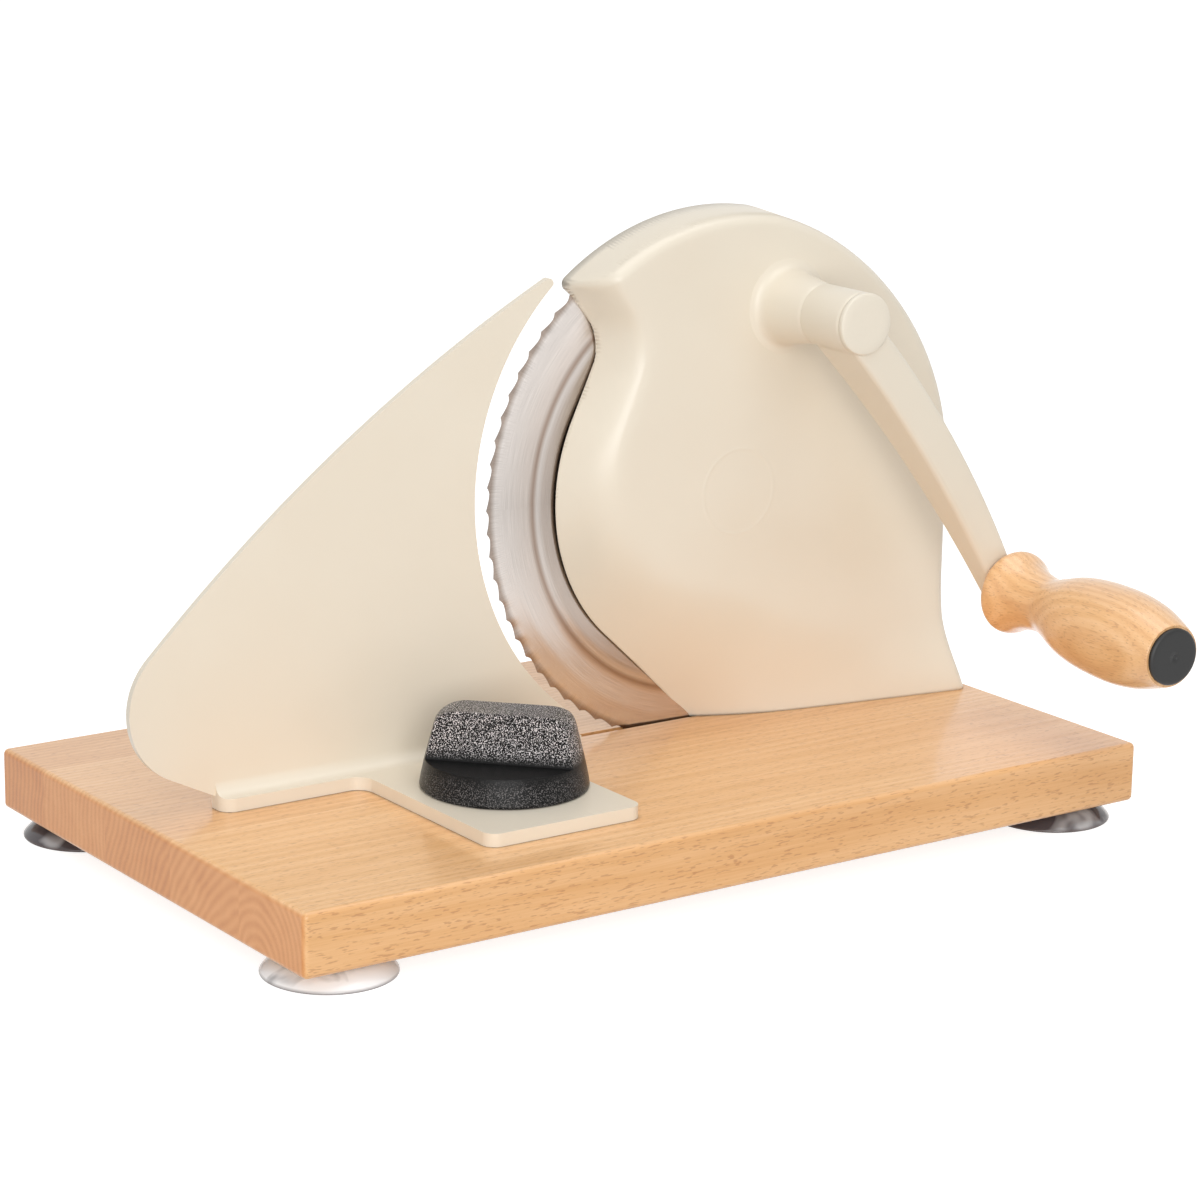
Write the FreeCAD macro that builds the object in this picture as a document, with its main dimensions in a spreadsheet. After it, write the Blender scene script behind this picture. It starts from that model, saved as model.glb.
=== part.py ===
import FreeCAD, Part
import math
import os

import Sketcher

os.makedirs("parts", exist_ok=True)
doc = FreeCAD.newDocument("bread_slicer")
Vec = FreeCAD.Vector

# Hand cranked bread slicer: a round serrated blade under a cast housing, on a wooden board with four
# rubber feet. A stop plate beside the blade slides front to back and sets the slice, and a knob
# clamps it. The crank turns a small gear that drives the large gear on the blade.
#
# Millimetres and degrees. X runs along the board towards the housing, Y away from the user and Z up.
# Every piece is drawn about the middle of the board, with the surface the feet stand on at Z = 0, and
# is then moved back by middle_shift, which puts the origin under the middle of the whole outline.
SIZES = [
    ("middle_shift", 18.75),
    # board
    ("board_long", 350),
    ("board_deep", 212),
    ("board_thick", 22),
    ("board_round", 2),
    ("slot_long", 150),
    ("slot_under_blade", 4),
    ("slot_wide", 3),
    # suction feet and the screws that hold them
    ("foot_stand", 7.5),
    ("foot_radius", 22.5),
    ("foot_rim", 1.2),
    ("foot_inset", 22),
    ("foot_neck", 9),
    ("foot_web", 3.5),
    ("foot_screw_radius", 2),
    ("foot_screw_bite", 12),
    ("foot_screw_head", 4),
    ("foot_screw_head_high", 2.2),
    ("foot_washer_radius", 6.5),
    ("foot_washer_thick", 0.8),
    # blade
    ("blade_from_end", 111.5),
    ("blade_radius", 96.3),
    ("blade_dip", 8),
    ("blade_thick", 1.2),
    ("blade_front", 8.6),
    ("blade_dish", 0.5),
    ("blade_step_radius", 78.5),
    ("blade_step_wide", 4),
    ("blade_bevel_wide", 9),
    ("blade_edge_thick", 0.3),
    ("blade_teeth", 72),
    ("blade_tooth_deep", 1.1),
    # gears
    ("blade_gear_teeth", 45),
    ("crank_gear_teeth", 24),
    ("tooth_high", 0.95),
    ("gear_inside_crown", 8.5),
    ("gear_wide", 6),
    ("gear_backlash", 0.3),
    ("gear_clearance", 0.8),
    ("crank_lean", 16.9),
    # blade axle and hub
    ("axle_radius", 5),
    ("axle_bite", 5.5),
    ("run_clearance", 0.05),
    ("hub_radius", 12),
    ("axle_boss_radius", 14),
    ("axle_washer_radius", 8),
    ("axle_washer_thick", 0.8),
    ("axle_washer_clearance", 0.3),
    ("axle_screw_radius", 2.5),
    ("axle_screw_head", 5),
    ("axle_screw_long", 10),
    ("axle_screw_sunk", 0.2),
    ("rivet_ring", 10),
    ("rivet_radius", 1),
    ("rivet_head_radius", 1.8),
    ("rivet_head_high", 0.5),
    ("rivet_bite", 5),
    # housing
    ("guard_gap", 0.6),
    ("guard_lip", 1),
    ("edge_ratio", 0.7165),
    ("edge_lean", 227.3),
    ("neck_angle", 141.55),
    ("neck_radius", 17.4),
    ("neck_slack", 2.2),
    ("neck_end", 36),
    ("rim_clearance", 1.3),
    ("rim_wall", 5.8),
    ("housing_back", 12),
    ("housing_face", -10),
    ("housing_wall", 2.5),
    ("housing_draft", 0.177),
    ("ramp_slope", 0.485),
    ("ramp_lean_x", -0.417),
    ("ramp_lean_z", 0.577),
    ("front_round", 3.5),
    ("flare_high", 45),
    ("flare_wide", 7.7),
    ("foot_line_left", 1.4),
    ("foot_line_slope", 0.167),
    ("foot_line_curl", 8),
    ("foot_line_reach", 13),
    ("foot_line_soft", 8),
    ("foot_curl_soft", 6),
    ("foot_blend_under_axis", 58.3),
    ("foot_blend_at", 16),
    ("foot_blend_run", 12),
    ("cover_thick", 1.5),
    ("cover_clearance", 0.4),
    ("cover_boss_clearance", 3.1),
    ("cover_neck_past_gear", 5),
    ("cover_screw_inset", 6),
    ("cover_boss_radius", 4),
    ("cover_screw_radius", 1.5),
    ("cover_screw_bite", 8),
    ("panel_thick", 1.8),
    ("panel_gap", 0.2),
    ("panel_boss_radius", 4),
    ("panel_screw_inset", 8),
    ("panel_screw_low", 12),
    ("panel_screw_high", 50),
    ("housing_boss_radius", 5),
    ("housing_boss_high", 18),
    ("housing_screw_first", 40.5),
    ("housing_screw_step", 26),
    ("housing_screw_behind", 5.4),
    ("housing_screw_radius", 2.5),
    ("housing_screw_bite", 14),
    ("housing_screw_head", 4.5),
    ("housing_screw_head_high", 3.5),
    ("housing_washer_radius", 6.5),
    ("housing_washer_thick", 1),
    ("counterbore_radius", 7.5),
    ("counterbore_deep", 6),
    # crank
    ("boss_front", -31),
    ("boss_front_radius", 10.3),
    ("boss_root_radius", 13.5),
    ("boss_skirt_radius", 17),
    ("boss_sunk", 0.6),
    ("bush_wall", 2),
    ("bush_boss_wall", 3),
    ("shaft_radius", 5),
    ("thrust_thick", 0.6),
    ("crank_throw", 132.8),
    ("crank_angle", 54.05),
    ("arm_hub_radius", 11),
    ("arm_hub_long", 21.4),
    ("arm_end_back", -39.5),
    ("arm_end_front", -48.4),
    ("arm_eye_radius", 7.5),
    ("arm_eye_thick", 4),
    ("arm_end_top", 4.5),
    ("arm_end_under", 6),
    ("arm_top_curve", 500),
    ("arm_under_curve", 600),
    ("crank_screw_radius", 3),
    ("crank_screw_head", 5),
    ("crank_screw_head_high", 4),
    ("crank_screw_bite", 12),
    ("crank_screw_sunk", 1),
    ("crank_screw_clearance", 0.5),
    ("cap_thick", 2),
    ("clip_thick", 0.8),
    ("clip_groove", 0.6),
    ("clip_rim", 1.6),
    ("shaft_end", 0.4),
    ("shaft_clearance", 0.4),
    # grip
    ("grip_yaw", -4),
    ("grip_roll", 2),
    ("grip_base", -50),
    ("grip_collar_radius", 15.2),
    ("grip_neck_radius", 10.4),
    ("grip_belly_radius", 17.3),
    ("grip_end_radius", 10.9),
    ("grip_collar_long", 5),
    ("grip_neck_at", 20),
    ("grip_belly_at", 28.5),
    ("grip_long", 91.7),
    ("grip_gap", 0.3),
    ("grip_cap_thick", 1.8),
    ("grip_cap_radius", 10.3),
    ("grip_plug_long", 3),
    ("pin_radius", 4),
    ("pin_head_radius", 6.5),
    ("pin_head_high", 4),
    ("pin_head_sunk", 7.7),
    ("pin_head_clearance", 0.6),
    ("pin_clearance", 0.5),
    ("pin_bite", 9),
    ("grip_bush_wall", 2),
    ("grip_bush_long", 12),
    # stop plate
    ("plate_back", 4.8),
    ("plate_thick", 2.5),
    ("slice_gap", 5.1),
    ("plate_arc_left", 4.4),
    ("plate_arc_up", 5.5),
    ("plate_from_blade", 63.5),
    ("tip_angle", 133.2),
    ("tip_across", 2.7),
    ("tip_up", 2.4),
    ("tip_round", 2),
    ("elbow_from_end", 4.7),
    ("elbow_high", 55.1),
    ("heel_from_end", 12.2),
    ("heel_high", 13),
    ("plate_top_curve", 618),
    ("lobe_bulge", 11.1),
    ("plate_foot_from_end", 29),
    ("plate_foot_thick", 4.7),
    ("plate_foot_front", -3.8),
    ("plate_foot_round", 5),
    ("plate_bend", 5),
    ("lug_wide", 62),
    ("lug_from_plate_end", 29.2),
    ("lug_past_clamp", 44.2),
    ("lug_round", 5),
    ("lug_inside_round", 6),
    # clamp
    ("clamp_from_lug_end", 27.1),
    ("clamp_y", -38.8),
    ("travel_front", 14.4),
    ("travel_back", 3.6),
    ("shoe_wide", 12),
    ("shoe_long", 20),
    ("shoe_clearance", 0.1),
    ("shoe_lift", 0.5),
    ("groove_wide", 24),
    ("groove_deep", 6),
    ("bolt_radius", 4),
    ("bolt_head_radius", 6),
    ("bolt_head_high", 3.5),
    ("bolt_long", 42),
    ("bolt_end_gap", 1),
    ("clamp_washer_radius", 11),
    ("clamp_washer_thick", 2),
    ("knob_radius", 29.2),
    ("knob_ledge_radius", 27.4),
    ("knob_ledge_high", 10),
    ("knob_top_radius", 22),
    ("knob_high", 27),
    ("knob_bar_half", 9.3),
    ("knob_bar_half_top", 7.2),
    ("knob_bar_turn", -46),
    ("knob_round", 5),
    ("insert_radius", 7),
    ("insert_long", 16),
]

# Places and sizes that follow from the ones above, as formulas over them.
TIED = [
    ("blade_x", "board_long / 2 - blade_from_end"),
    ("blade_rise", "blade_radius - blade_dip"),
    ("edge_radius", "blade_radius * edge_ratio"),
    ("housing_radius", "blade_radius + rim_clearance + rim_wall"),
    ("teeth_sum", "blade_gear_teeth + crank_gear_teeth"),
    ("foot_blend", "blade_rise - foot_blend_under_axis"),
    ("axis_gap", "(housing_radius - gear_inside_crown) * teeth_sum"
                 " / (teeth_sum + crank_gear_teeth + 2 * tooth_high)"),
    ("gear_module", "2 * axis_gap / teeth_sum"),
    ("cover_neck_radius", "gear_module * crank_gear_teeth / 2 + cover_neck_past_gear"),
    ("cover_screw_ring", "gear_module * (blade_gear_teeth / 2 + tooth_high)"
                         " + cover_boss_clearance + cover_boss_radius"),
    ("cover_radius", "cover_screw_ring + cover_screw_inset"),
    ("gear_front", "blade_front - blade_dish - guard_gap - cover_clearance - cover_thick"
                   " - shaft_clearance - shaft_end - clip_thick - gear_wide"),
    ("plate_arc_radius", "blade_radius + slice_gap"),
    ("plate_arc_x", "blade_x - plate_arc_left"),
    ("plate_arc_z", "blade_rise + plate_arc_up"),
    ("plate_right", "blade_x - plate_from_blade"),
    ("plate_foot_left", "plate_foot_from_end - board_long / 2"),
    ("tip_in_x", "plate_arc_x + plate_arc_radius * cos(tip_angle)"),
    ("tip_in_z", "plate_arc_z + plate_arc_radius * sin(tip_angle)"),
    ("lobe_half", "sqrt((heel_from_end - elbow_from_end) ^ 2 + (elbow_high - heel_high) ^ 2) / 2"),
    ("plate_lobe_radius", "(lobe_half ^ 2 + lobe_bulge ^ 2) / (2 * lobe_bulge)"),
    ("lug_right", "plate_right - lug_from_plate_end"),
    ("lug_left", "lug_right - lug_wide"),
    ("lug_front", "clamp_y - lug_past_clamp"),
    ("clamp_x", "lug_right - clamp_from_lug_end"),
    ("pin_long", "grip_long - pin_head_sunk - pin_head_high"),
]

sheet = doc.addObject("Spreadsheet::Sheet", "dim")
rows = SIZES + [(alias, "=" + formula) for alias, formula in TIED]
for row, (alias, content) in enumerate(rows, 1):
    sheet.set("A%d" % row, alias)
    sheet.set("B%d" % row, str(content))
    sheet.setAlias("B%d" % row, alias)
    doc.recompute()


def number(expression):
    # the value of an expression over the sheet, as a plain number
    value = sheet.evalExpression(expression)
    return float(getattr(value, "Value", value))


# ---- places and sizes that more than one piece shares, as expressions over the sheet
shift = "dim.middle_shift"
boardTop = "(dim.foot_stand + dim.board_thick)"
footX = "(dim.board_long / 2 - dim.foot_inset)"
footY = "(dim.board_deep / 2 - dim.foot_inset)"
bladeZ = "(" + boardTop + " + dim.blade_rise)"
crankX = "(dim.blade_x + dim.axis_gap * sin(dim.crank_lean))"
crankZ = "(" + bladeZ + " + dim.axis_gap * cos(dim.crank_lean))"
dishFront = "(dim.blade_front - dim.blade_dish)"
guardBack = "(dim.blade_front - dim.blade_dish - dim.guard_gap)"
gearBack = "(dim.gear_front + dim.gear_wide)"
coverBack = "(" + guardBack + " - dim.cover_clearance)"
coverFront = "(" + coverBack + " - dim.cover_thick)"
axleBack = "(" + dishFront + " - dim.axle_washer_thick + dim.run_clearance)"
armHubBack = "(dim.boss_front - dim.run_clearance - dim.thrust_thick)"
armHubFront = "(dim.boss_front - dim.run_clearance - dim.thrust_thick - dim.arm_hub_long)"
panelFront = "(dim.housing_back - dim.panel_thick)"
lugTop = "(" + boardTop + " + dim.plate_foot_thick)"
grooveRoof = "(dim.foot_stand + dim.groove_deep)"
counterRoof = "(dim.foot_stand + dim.counterbore_deep)"
sinkDeep = "(0.7 * dim.cover_thick)"
bossBack = "(dim.gear_front - dim.gear_clearance)"
toeLine = ("(dim.blade_x + dim.edge_radius * cos(dim.edge_lean)"
           " + tan(dim.edge_lean) * (dim.blade_rise + dim.edge_radius * sin(dim.edge_lean)))")

nodes = []


def keep(piece, label):
    # gives a finished piece its name and puts it on the list to be written
    piece.Label = label
    nodes.append(piece)
    return piece


# ---- sketches and features
def newBody(label, x="0", y="0", z="0"):
    body = doc.addObject("PartDesign::Body", label)
    body.setExpression("Placement.Base.x", x)
    body.setExpression("Placement.Base.y", y + " + " + shift)
    body.setExpression("Placement.Base.z", z)
    return keep(body, label)


def newSketch(body, role, lift="0"):
    sketch = body.newObject("Sketcher::SketchObject", body.Name + "_outline")
    plane = [datum for datum in body.Origin.OriginFeatures if datum.Role == role][0]
    sketch.AttachmentSupport = [(plane, "")]
    sketch.MapMode = "FlatFace"
    sketch.setExpression("AttachmentOffset.Base.z", lift)
    return sketch


def bind(sketch, kind, values, expression):
    index = sketch.addConstraint(Sketcher.Constraint(kind, *values, number(expression)))
    sketch.setExpression("Constraints[%d]" % index, expression)


def outline(sketch, corners):
    # Closed outline. A corner is (across, up) and is joined to the next one by a straight edge, or
    # is (across, up, radius, turn) and starts an arc that turns left for 1 and right for -1.
    count = len(corners)
    places = [Vec(number(corner[0]), number(corner[1]), 0) for corner in corners]
    ends = []
    for i, corner in enumerate(corners):
        here = places[i]
        there = places[(i + 1) % count]
        if len(corner) == 2:
            sketch.addGeometry(Part.LineSegment(here, there), False)
            ends.append((1, 2))
            continue
        radius = number(corner[2])
        turn = corner[3]
        half = (there - here).Length / 2
        left = Vec(here.y - there.y, there.x - here.x, 0).normalize()
        centre = (here + there) * 0.5 + left * (turn * math.sqrt(radius ** 2 - half ** 2))
        first, last = (here, there) if turn > 0 else (there, here)
        start = math.atan2(first.y - centre.y, first.x - centre.x)
        stop = math.atan2(last.y - centre.y, last.x - centre.x)
        if stop < start:
            stop += 2 * math.pi
        circle = Part.Circle(centre, Vec(0, 0, 1), radius)
        sketch.addGeometry(Part.ArcOfCircle(circle, start, stop), False)
        ends.append((1, 2) if turn > 0 else (2, 1))
    for i in range(count):
        after = (i + 1) % count
        joint = Sketcher.Constraint("Coincident", i, ends[i][1], after, ends[after][0])
        sketch.addConstraint(joint)
    for i, corner in enumerate(corners):
        bind(sketch, "DistanceX", (-1, 1, i, ends[i][0]), corner[0])
        bind(sketch, "DistanceY", (-1, 1, i, ends[i][0]), corner[1])
        if len(corner) > 2:
            bind(sketch, "Radius", (i,), corner[2])


def rounds(sketch, places, radius):
    # circles of one radius at the given places
    for across, up in places:
        middle = Vec(number(across), number(up), 0)
        circle = Part.Circle(middle, Vec(0, 0, 1), number(radius))
        index = sketch.addGeometry(circle, False)
        bind(sketch, "DistanceX", (-1, 1, index, 3), across)
        bind(sketch, "DistanceY", (-1, 1, index, 3), up)
        bind(sketch, "Radius", (index,), radius)


def pad(body, sketch, length):
    feature = body.newObject("PartDesign::Pad", body.Name + "_pad")
    feature.Profile = sketch
    feature.setExpression("Length", length)
    doc.recompute()
    return feature


def cut(body, sketch, length, away=False):
    # pocket that goes into the sketch's back, or out of its front when away is set
    before = body.Shape.Volume
    feature = body.newObject("PartDesign::Pocket", body.Name + "_pocket")
    feature.Profile = sketch
    feature.setExpression("Length", length)
    feature.Reversed = away
    doc.recompute()
    if body.Shape.Volume > before - 1e-3:
        raise RuntimeError(body.Label + ": a pocket cuts nothing")
    return feature


def turned(body, corners, role="XZ_Plane"):
    # turns an outline of (radius, height) corners about the body's own Z, or Y for the XY plane
    sketch = newSketch(body, role)
    outline(sketch, corners)
    feature = body.newObject("PartDesign::Revolution", body.Name + "_turned")
    feature.Profile = sketch
    feature.ReferenceAxis = (sketch, ["V_Axis"])
    feature.Angle = 360
    doc.recompute()
    return feature


def roundOver(body, base, radius, wanted):
    # rounds the edges of the last feature for which wanted says yes
    names = ["Edge%d" % (i + 1) for i, edge in enumerate(base.Shape.Edges) if wanted(edge)]
    feature = body.newObject("PartDesign::Fillet", body.Name + "_round")
    feature.Base = (base, names)
    feature.setExpression("Radius", radius)
    doc.recompute()
    return feature


def rectangle(left, right, front, back):
    return [(left, front), (right, front), (right, back), (left, back)]


# ---- plain cylinders, rings and screws
wayTurns = {
    "up": FreeCAD.Rotation(),
    "back": FreeCAD.Rotation(Vec(1, 0, 0), -90),
    "front": FreeCAD.Rotation(Vec(1, 0, 0), 90),
}


def rod(name, radius, long, x, y, z, way="up"):
    cylinder = doc.addObject("Part::Cylinder", name)
    cylinder.setExpression("Radius", radius)
    cylinder.setExpression("Height", long)
    cylinder.Placement = FreeCAD.Placement(Vec(), wayTurns[way])
    cylinder.setExpression("Placement.Base.x", x)
    cylinder.setExpression("Placement.Base.y", y + " + " + shift)
    cylinder.setExpression("Placement.Base.z", z)
    return cylinder


def joined(kind, name, base, tool):
    made = doc.addObject("Part::" + kind, name)
    made.Base = base
    made.Tool = tool
    return made


def ring(name, radius, bore, long, x, y, z, way="up"):
    outer = rod(name + "_outer", radius, long, x, y, z, way)
    inner = rod(name + "_bore", bore, long, x, y, z, way)
    return joined("Cut", name, outer, inner)


def group(label, pieces):
    # alike pieces that share a node, each a solid of its own
    compound = doc.addObject("Part::Compound", label)
    compound.Links = pieces
    return keep(compound, label)


def screw(name, head, headLong, shank, shankLong, x, y, z, way):
    # the head starts at the given place and the shank goes on from it the same way
    along = {"up": (0, 1), "back": (1, 0), "front": (-1, 0)}[way]
    shankY = "%s + %d * %s" % (y, along[0], headLong)
    shankZ = "%s + %d * %s" % (z, along[1], headLong)
    top = rod(name + "_head", head, headLong, x, y, z, way)
    stem = rod(name + "_shank", shank, shankLong, x, shankY, shankZ, way)
    return joined("Fuse", name, top, stem)


def formed(label, shape, x="0", y="0", z="0", turn=FreeCAD.Rotation()):
    # a piece whose shape comes from Part's own functions, put in its place after it has its shape
    feature = doc.addObject("Part::Feature", label)
    feature.Shape = shape
    place = Vec(number(x), number(y + " + " + shift), number(z))
    feature.Placement = FreeCAD.Placement(place, turn)
    return keep(feature, label)


# ---- board
# the housing's screws stand in a row just behind its front, which slants back along the board
housingScrews = []
for i in range(3):
    screwX = "(dim.blade_x + dim.housing_screw_first + %d * dim.housing_screw_step)" % i
    screwY = ("(dim.foot_line_left - dim.foot_line_slope * (" + screwX + " - " + toeLine + ")"
              " + dim.housing_screw_behind)")
    housingScrews.append((screwX, screwY))
feet = {
    "front_left": ("-" + footX, "-" + footY),
    "front_right": (footX, "-" + footY),
    "rear_left": ("-" + footX, footY),
    "rear_right": (footX, footY),
}
shoeHalf = "dim.shoe_wide / 2"
shoeFront = "(dim.clamp_y - dim.shoe_long / 2)"
shoeBack = "(dim.clamp_y + dim.shoe_long / 2)"
slotMiddle = "(dim.blade_front + dim.blade_thick / 2)"

board = newBody("base_board")
plan = newSketch(board, "XY_Plane", "dim.foot_stand")
halfLong = "dim.board_long / 2"
halfDeep = "dim.board_deep / 2"
outline(plan, rectangle("-" + halfLong, halfLong, "-" + halfDeep, halfDeep))
slab = pad(board, plan, "dim.board_thick")
roundOver(board, slab, "dim.board_round", lambda edge: True)

# slot that the blade dips into
slot = newSketch(board, "XY_Plane", boardTop)
outline(slot, rectangle("dim.blade_x - dim.slot_long / 2", "dim.blade_x + dim.slot_long / 2",
                        slotMiddle + " - dim.slot_wide / 2", slotMiddle + " + dim.slot_wide / 2"))
cut(board, slot, "dim.blade_dip + dim.slot_under_blade")

# slot that the stop plate's guide shoe runs in, with a wider groove for its washer underneath
shoeSlot = newSketch(board, "XY_Plane", boardTop)
outline(shoeSlot, rectangle(
    "dim.clamp_x - " + shoeHalf + " - dim.shoe_clearance",
    "dim.clamp_x + " + shoeHalf + " + dim.shoe_clearance",
    shoeFront + " - dim.travel_front - dim.shoe_clearance",
    shoeBack + " + dim.travel_back + dim.shoe_clearance"))
cut(board, shoeSlot, "dim.board_thick")
groove = newSketch(board, "XY_Plane", "dim.foot_stand")
outline(groove, rectangle(
    "dim.clamp_x - dim.groove_wide / 2",
    "dim.clamp_x + dim.groove_wide / 2",
    "dim.clamp_y - dim.travel_front - dim.groove_wide / 2",
    "dim.clamp_y + dim.travel_back + dim.groove_wide / 2"))
cut(board, groove, "dim.groove_deep", away=True)

# screw holes
pilots = newSketch(board, "XY_Plane", "dim.foot_stand")
rounds(pilots, list(feet.values()), "dim.foot_screw_radius")
cut(board, pilots, "dim.foot_screw_bite", away=True)
counterbores = newSketch(board, "XY_Plane", "dim.foot_stand")
rounds(counterbores, housingScrews, "dim.counterbore_radius")
cut(board, counterbores, "dim.counterbore_deep", away=True)
throughs = newSketch(board, "XY_Plane", "dim.foot_stand")
rounds(throughs, housingScrews, "dim.housing_screw_radius")
cut(board, throughs, "dim.board_thick", away=True)

# ---- feet: rubber suction cups, each held by a screw and washer in its hollow
footScrews = []
footWashers = []
washerUnder = "dim.foot_stand - dim.foot_web - dim.foot_washer_thick"
for corner, (x, y) in feet.items():
    foot = newBody("foot_" + corner, x, y)
    turned(foot, [
        ("dim.foot_radius - dim.foot_rim", "0"),
        ("dim.foot_radius", "0"),
        ("dim.foot_radius", "0.12 * dim.foot_stand", "0.95 * dim.foot_radius", 1),
        ("dim.foot_neck", "dim.foot_stand"),
        ("dim.foot_screw_radius", "dim.foot_stand"),
        ("dim.foot_screw_radius", "dim.foot_stand - dim.foot_web"),
        ("dim.foot_neck", "dim.foot_stand - dim.foot_web", "dim.foot_radius", -1),
    ])
    footWashers.append(ring("foot_washer_" + corner, "dim.foot_washer_radius",
                            "dim.foot_screw_radius", "dim.foot_washer_thick", x, y, washerUnder))
    footScrews.append(screw(
        "foot_screw_" + corner, "dim.foot_screw_head", "dim.foot_screw_head_high",
        "dim.foot_screw_radius",
        "dim.foot_washer_thick + dim.foot_web + dim.foot_screw_bite",
        x, y, washerUnder + " - dim.foot_screw_head_high", "up"))
group("foot_washers", footWashers)
group("foot_screws", footScrews)


# ---- curved outlines that are worked out in the XZ plane
def spot(x, z, y=0.0):
    return Vec(x, y, z)


def polar(centre, radius, degrees):
    angle = math.radians(degrees)
    return centre + Vec(radius * math.cos(angle), 0, radius * math.sin(angle))


def arc(centre, radius, first, last):
    middle = polar(centre, radius, (first + last) / 2)
    return Part.Arc(polar(centre, radius, first), middle, polar(centre, radius, last)).toShape()


def alongY(wire, front, back):
    # solid of a flat outline drawn at Y = 0, from the front plane to the back plane
    face = Part.Face(wire)
    face.translate(Vec(0, front, 0))
    return face.extrude(Vec(0, back - front, 0))


def drum(x, z, radius, front, back):
    return Part.makeCylinder(radius, back - front, Vec(x, front, z), Vec(0, 1, 0))


# ---- housing. Drawn with the board's top at Z = 0.
bladeX = number("dim.blade_x")
bladeRise = number("dim.blade_rise")
bladeAxis = spot(bladeX, bladeRise)
crankAxis = spot(number(crankX), number(crankZ) - number(boardTop))
edgeRadius = number("dim.edge_radius")
edgeLean = number("dim.edge_lean")
neckAngle = number("dim.neck_angle")
neckRadius = number("dim.neck_radius")
neckSlack = number("dim.neck_slack")
neckEnd = number("dim.neck_end")
neckCentre = polar(bladeAxis, edgeRadius + neckRadius + neckSlack, neckAngle)
housingRadius = number("dim.housing_radius")
housingBack = number("dim.housing_back")
housingFace = number("dim.housing_face")
housingWall = number("dim.housing_wall")
draft = number("dim.housing_draft")
rampSlope = number("dim.ramp_slope")
rampLean = spot(number("dim.ramp_lean_x"), number("dim.ramp_lean_z"))
guardEnd = number(guardBack)
lipFront = guardEnd - number("dim.guard_lip")
flareHigh = number("dim.flare_high")
flareWide = number("dim.flare_wide")
toeX = number(toeLine)
footLeft = number("dim.foot_line_left")
footSlope = number("dim.foot_line_slope")
footSoft = number("dim.foot_line_soft")
footReach = number("dim.foot_line_reach")
footCurl = number("dim.foot_line_curl")
curlSoft = number("dim.foot_curl_soft")
footBlend = number("dim.foot_blend")
blendAt = number("dim.foot_blend_at")
blendRun = number("dim.foot_blend_run")
flatFrom = 2 * footBlend + 2  # above this height the housing's front is flat
overrun = 12  # how far the lofts run on in front of the housing's face


def housingWire(y, edgeInset, outerInset, floor, depth=0):
    # The housing's outline in one plane, which is depth in front of the lip. Its left edge is round
    # with a straight part below and a hollow neck above, and its crown is round about the blade's
    # axis. The ramp in front of the lip leans, so the round part's centre moves with the depth.
    centre = bladeAxis + rampLean * depth
    toNeck = neckCentre - centre
    hollow = neckRadius + edgeInset
    round_ = toNeck.Length - hollow - neckSlack
    crown = housingRadius - outerInset
    lean = math.radians(edgeLean)
    low = polar(centre, round_, edgeLean)
    slide = (low.z - floor) / math.cos(lean)
    toe = spot(low.x + math.sin(lean) * slide, floor)
    join = math.degrees(math.atan2(toNeck.z, toNeck.x) + math.acos((round_ + hollow) / toNeck.Length))
    high = polar(neckCentre, hollow, neckEnd)
    away = Vec(-math.sin(math.radians(neckEnd)), 0, math.cos(math.radians(neckEnd)))
    off = high - bladeAxis
    reach = -off.dot(away) + math.sqrt(off.dot(away) ** 2 - off.Length ** 2 + crown ** 2)
    nose = high + away * reach
    noseAngle = math.degrees(math.atan2(nose.z - bladeRise, nose.x - bladeX))
    side = bladeX + crown
    flareRadius = (flareHigh ** 2 + flareWide ** 2) / (2 * flareWide)
    bend = math.degrees(math.asin((flareHigh - floor) / flareRadius))
    flareCentre = spot(side + flareRadius, flareHigh)
    corner = polar(flareCentre, flareRadius, 180 + bend)
    edges = [
        Part.LineSegment(toe, low).toShape(),
        arc(centre, round_, edgeLean, join),
        Part.LineSegment(polar(centre, round_, join), polar(neckCentre, hollow, join - 180)).toShape(),
        arc(neckCentre, hollow, join - 180, neckEnd),
        Part.LineSegment(high, nose).toShape(),
        arc(bladeAxis, crown, noseAngle, 0),
        Part.LineSegment(spot(side, bladeRise), spot(side, flareHigh)).toShape(),
        arc(flareCentre, flareRadius, 180, 180 + bend),
        Part.LineSegment(corner, toe).toShape(),
    ]
    wire = Part.Wire(edges)
    wire.translate(Vec(0, y, 0))
    return wire


def housingBlock(edgeInset, outerInset, taper, floor, back):
    # narrows towards the front by the taper, and its left edge is a ramp in front of a narrow lip
    depth = lipFront - housingFace + overrun
    front = lipFront - depth
    middle = housingWire(lipFront, edgeInset, outerInset + taper * (housingBack - lipFront), floor)
    rear = housingWire(back, edgeInset, outerInset + taper * (housingBack - back), floor)
    fore = housingWire(front, edgeInset + rampSlope * depth,
                       outerInset + taper * (housingBack - front), floor, depth)
    return Part.makeLoft([rear, middle], True, True).fuse(Part.makeLoft([middle, fore], True, True))


def ease(distance, width):
    # distance where it is well above zero and zero where it is well below
    return (distance + math.sqrt(distance ** 2 + width ** 2)) / 2


def faceDepth(x, z):
    # Y of the housing's front: flat above, and below it runs out to a slanting line on the board
    curl = footCurl * math.exp(-ease(x + z - toeX, curlSoft) / footReach)
    low = footLeft + curl - footSlope * ease(x - toeX, footSoft)
    high = footBlend * (1 + 1 / (1 + math.exp((x - bladeX - blendAt) / blendRun)))
    share = min(max(z / high, 0), 1)
    share = share * share * (3 - 2 * share)
    return (1 - share) * low + share * housingFace


frontLeft = bladeX - housingRadius - overrun
frontWide = 2 * (housingRadius + overrun) + flareWide
frontDeep = 2 * (housingBack - housingFace)


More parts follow.
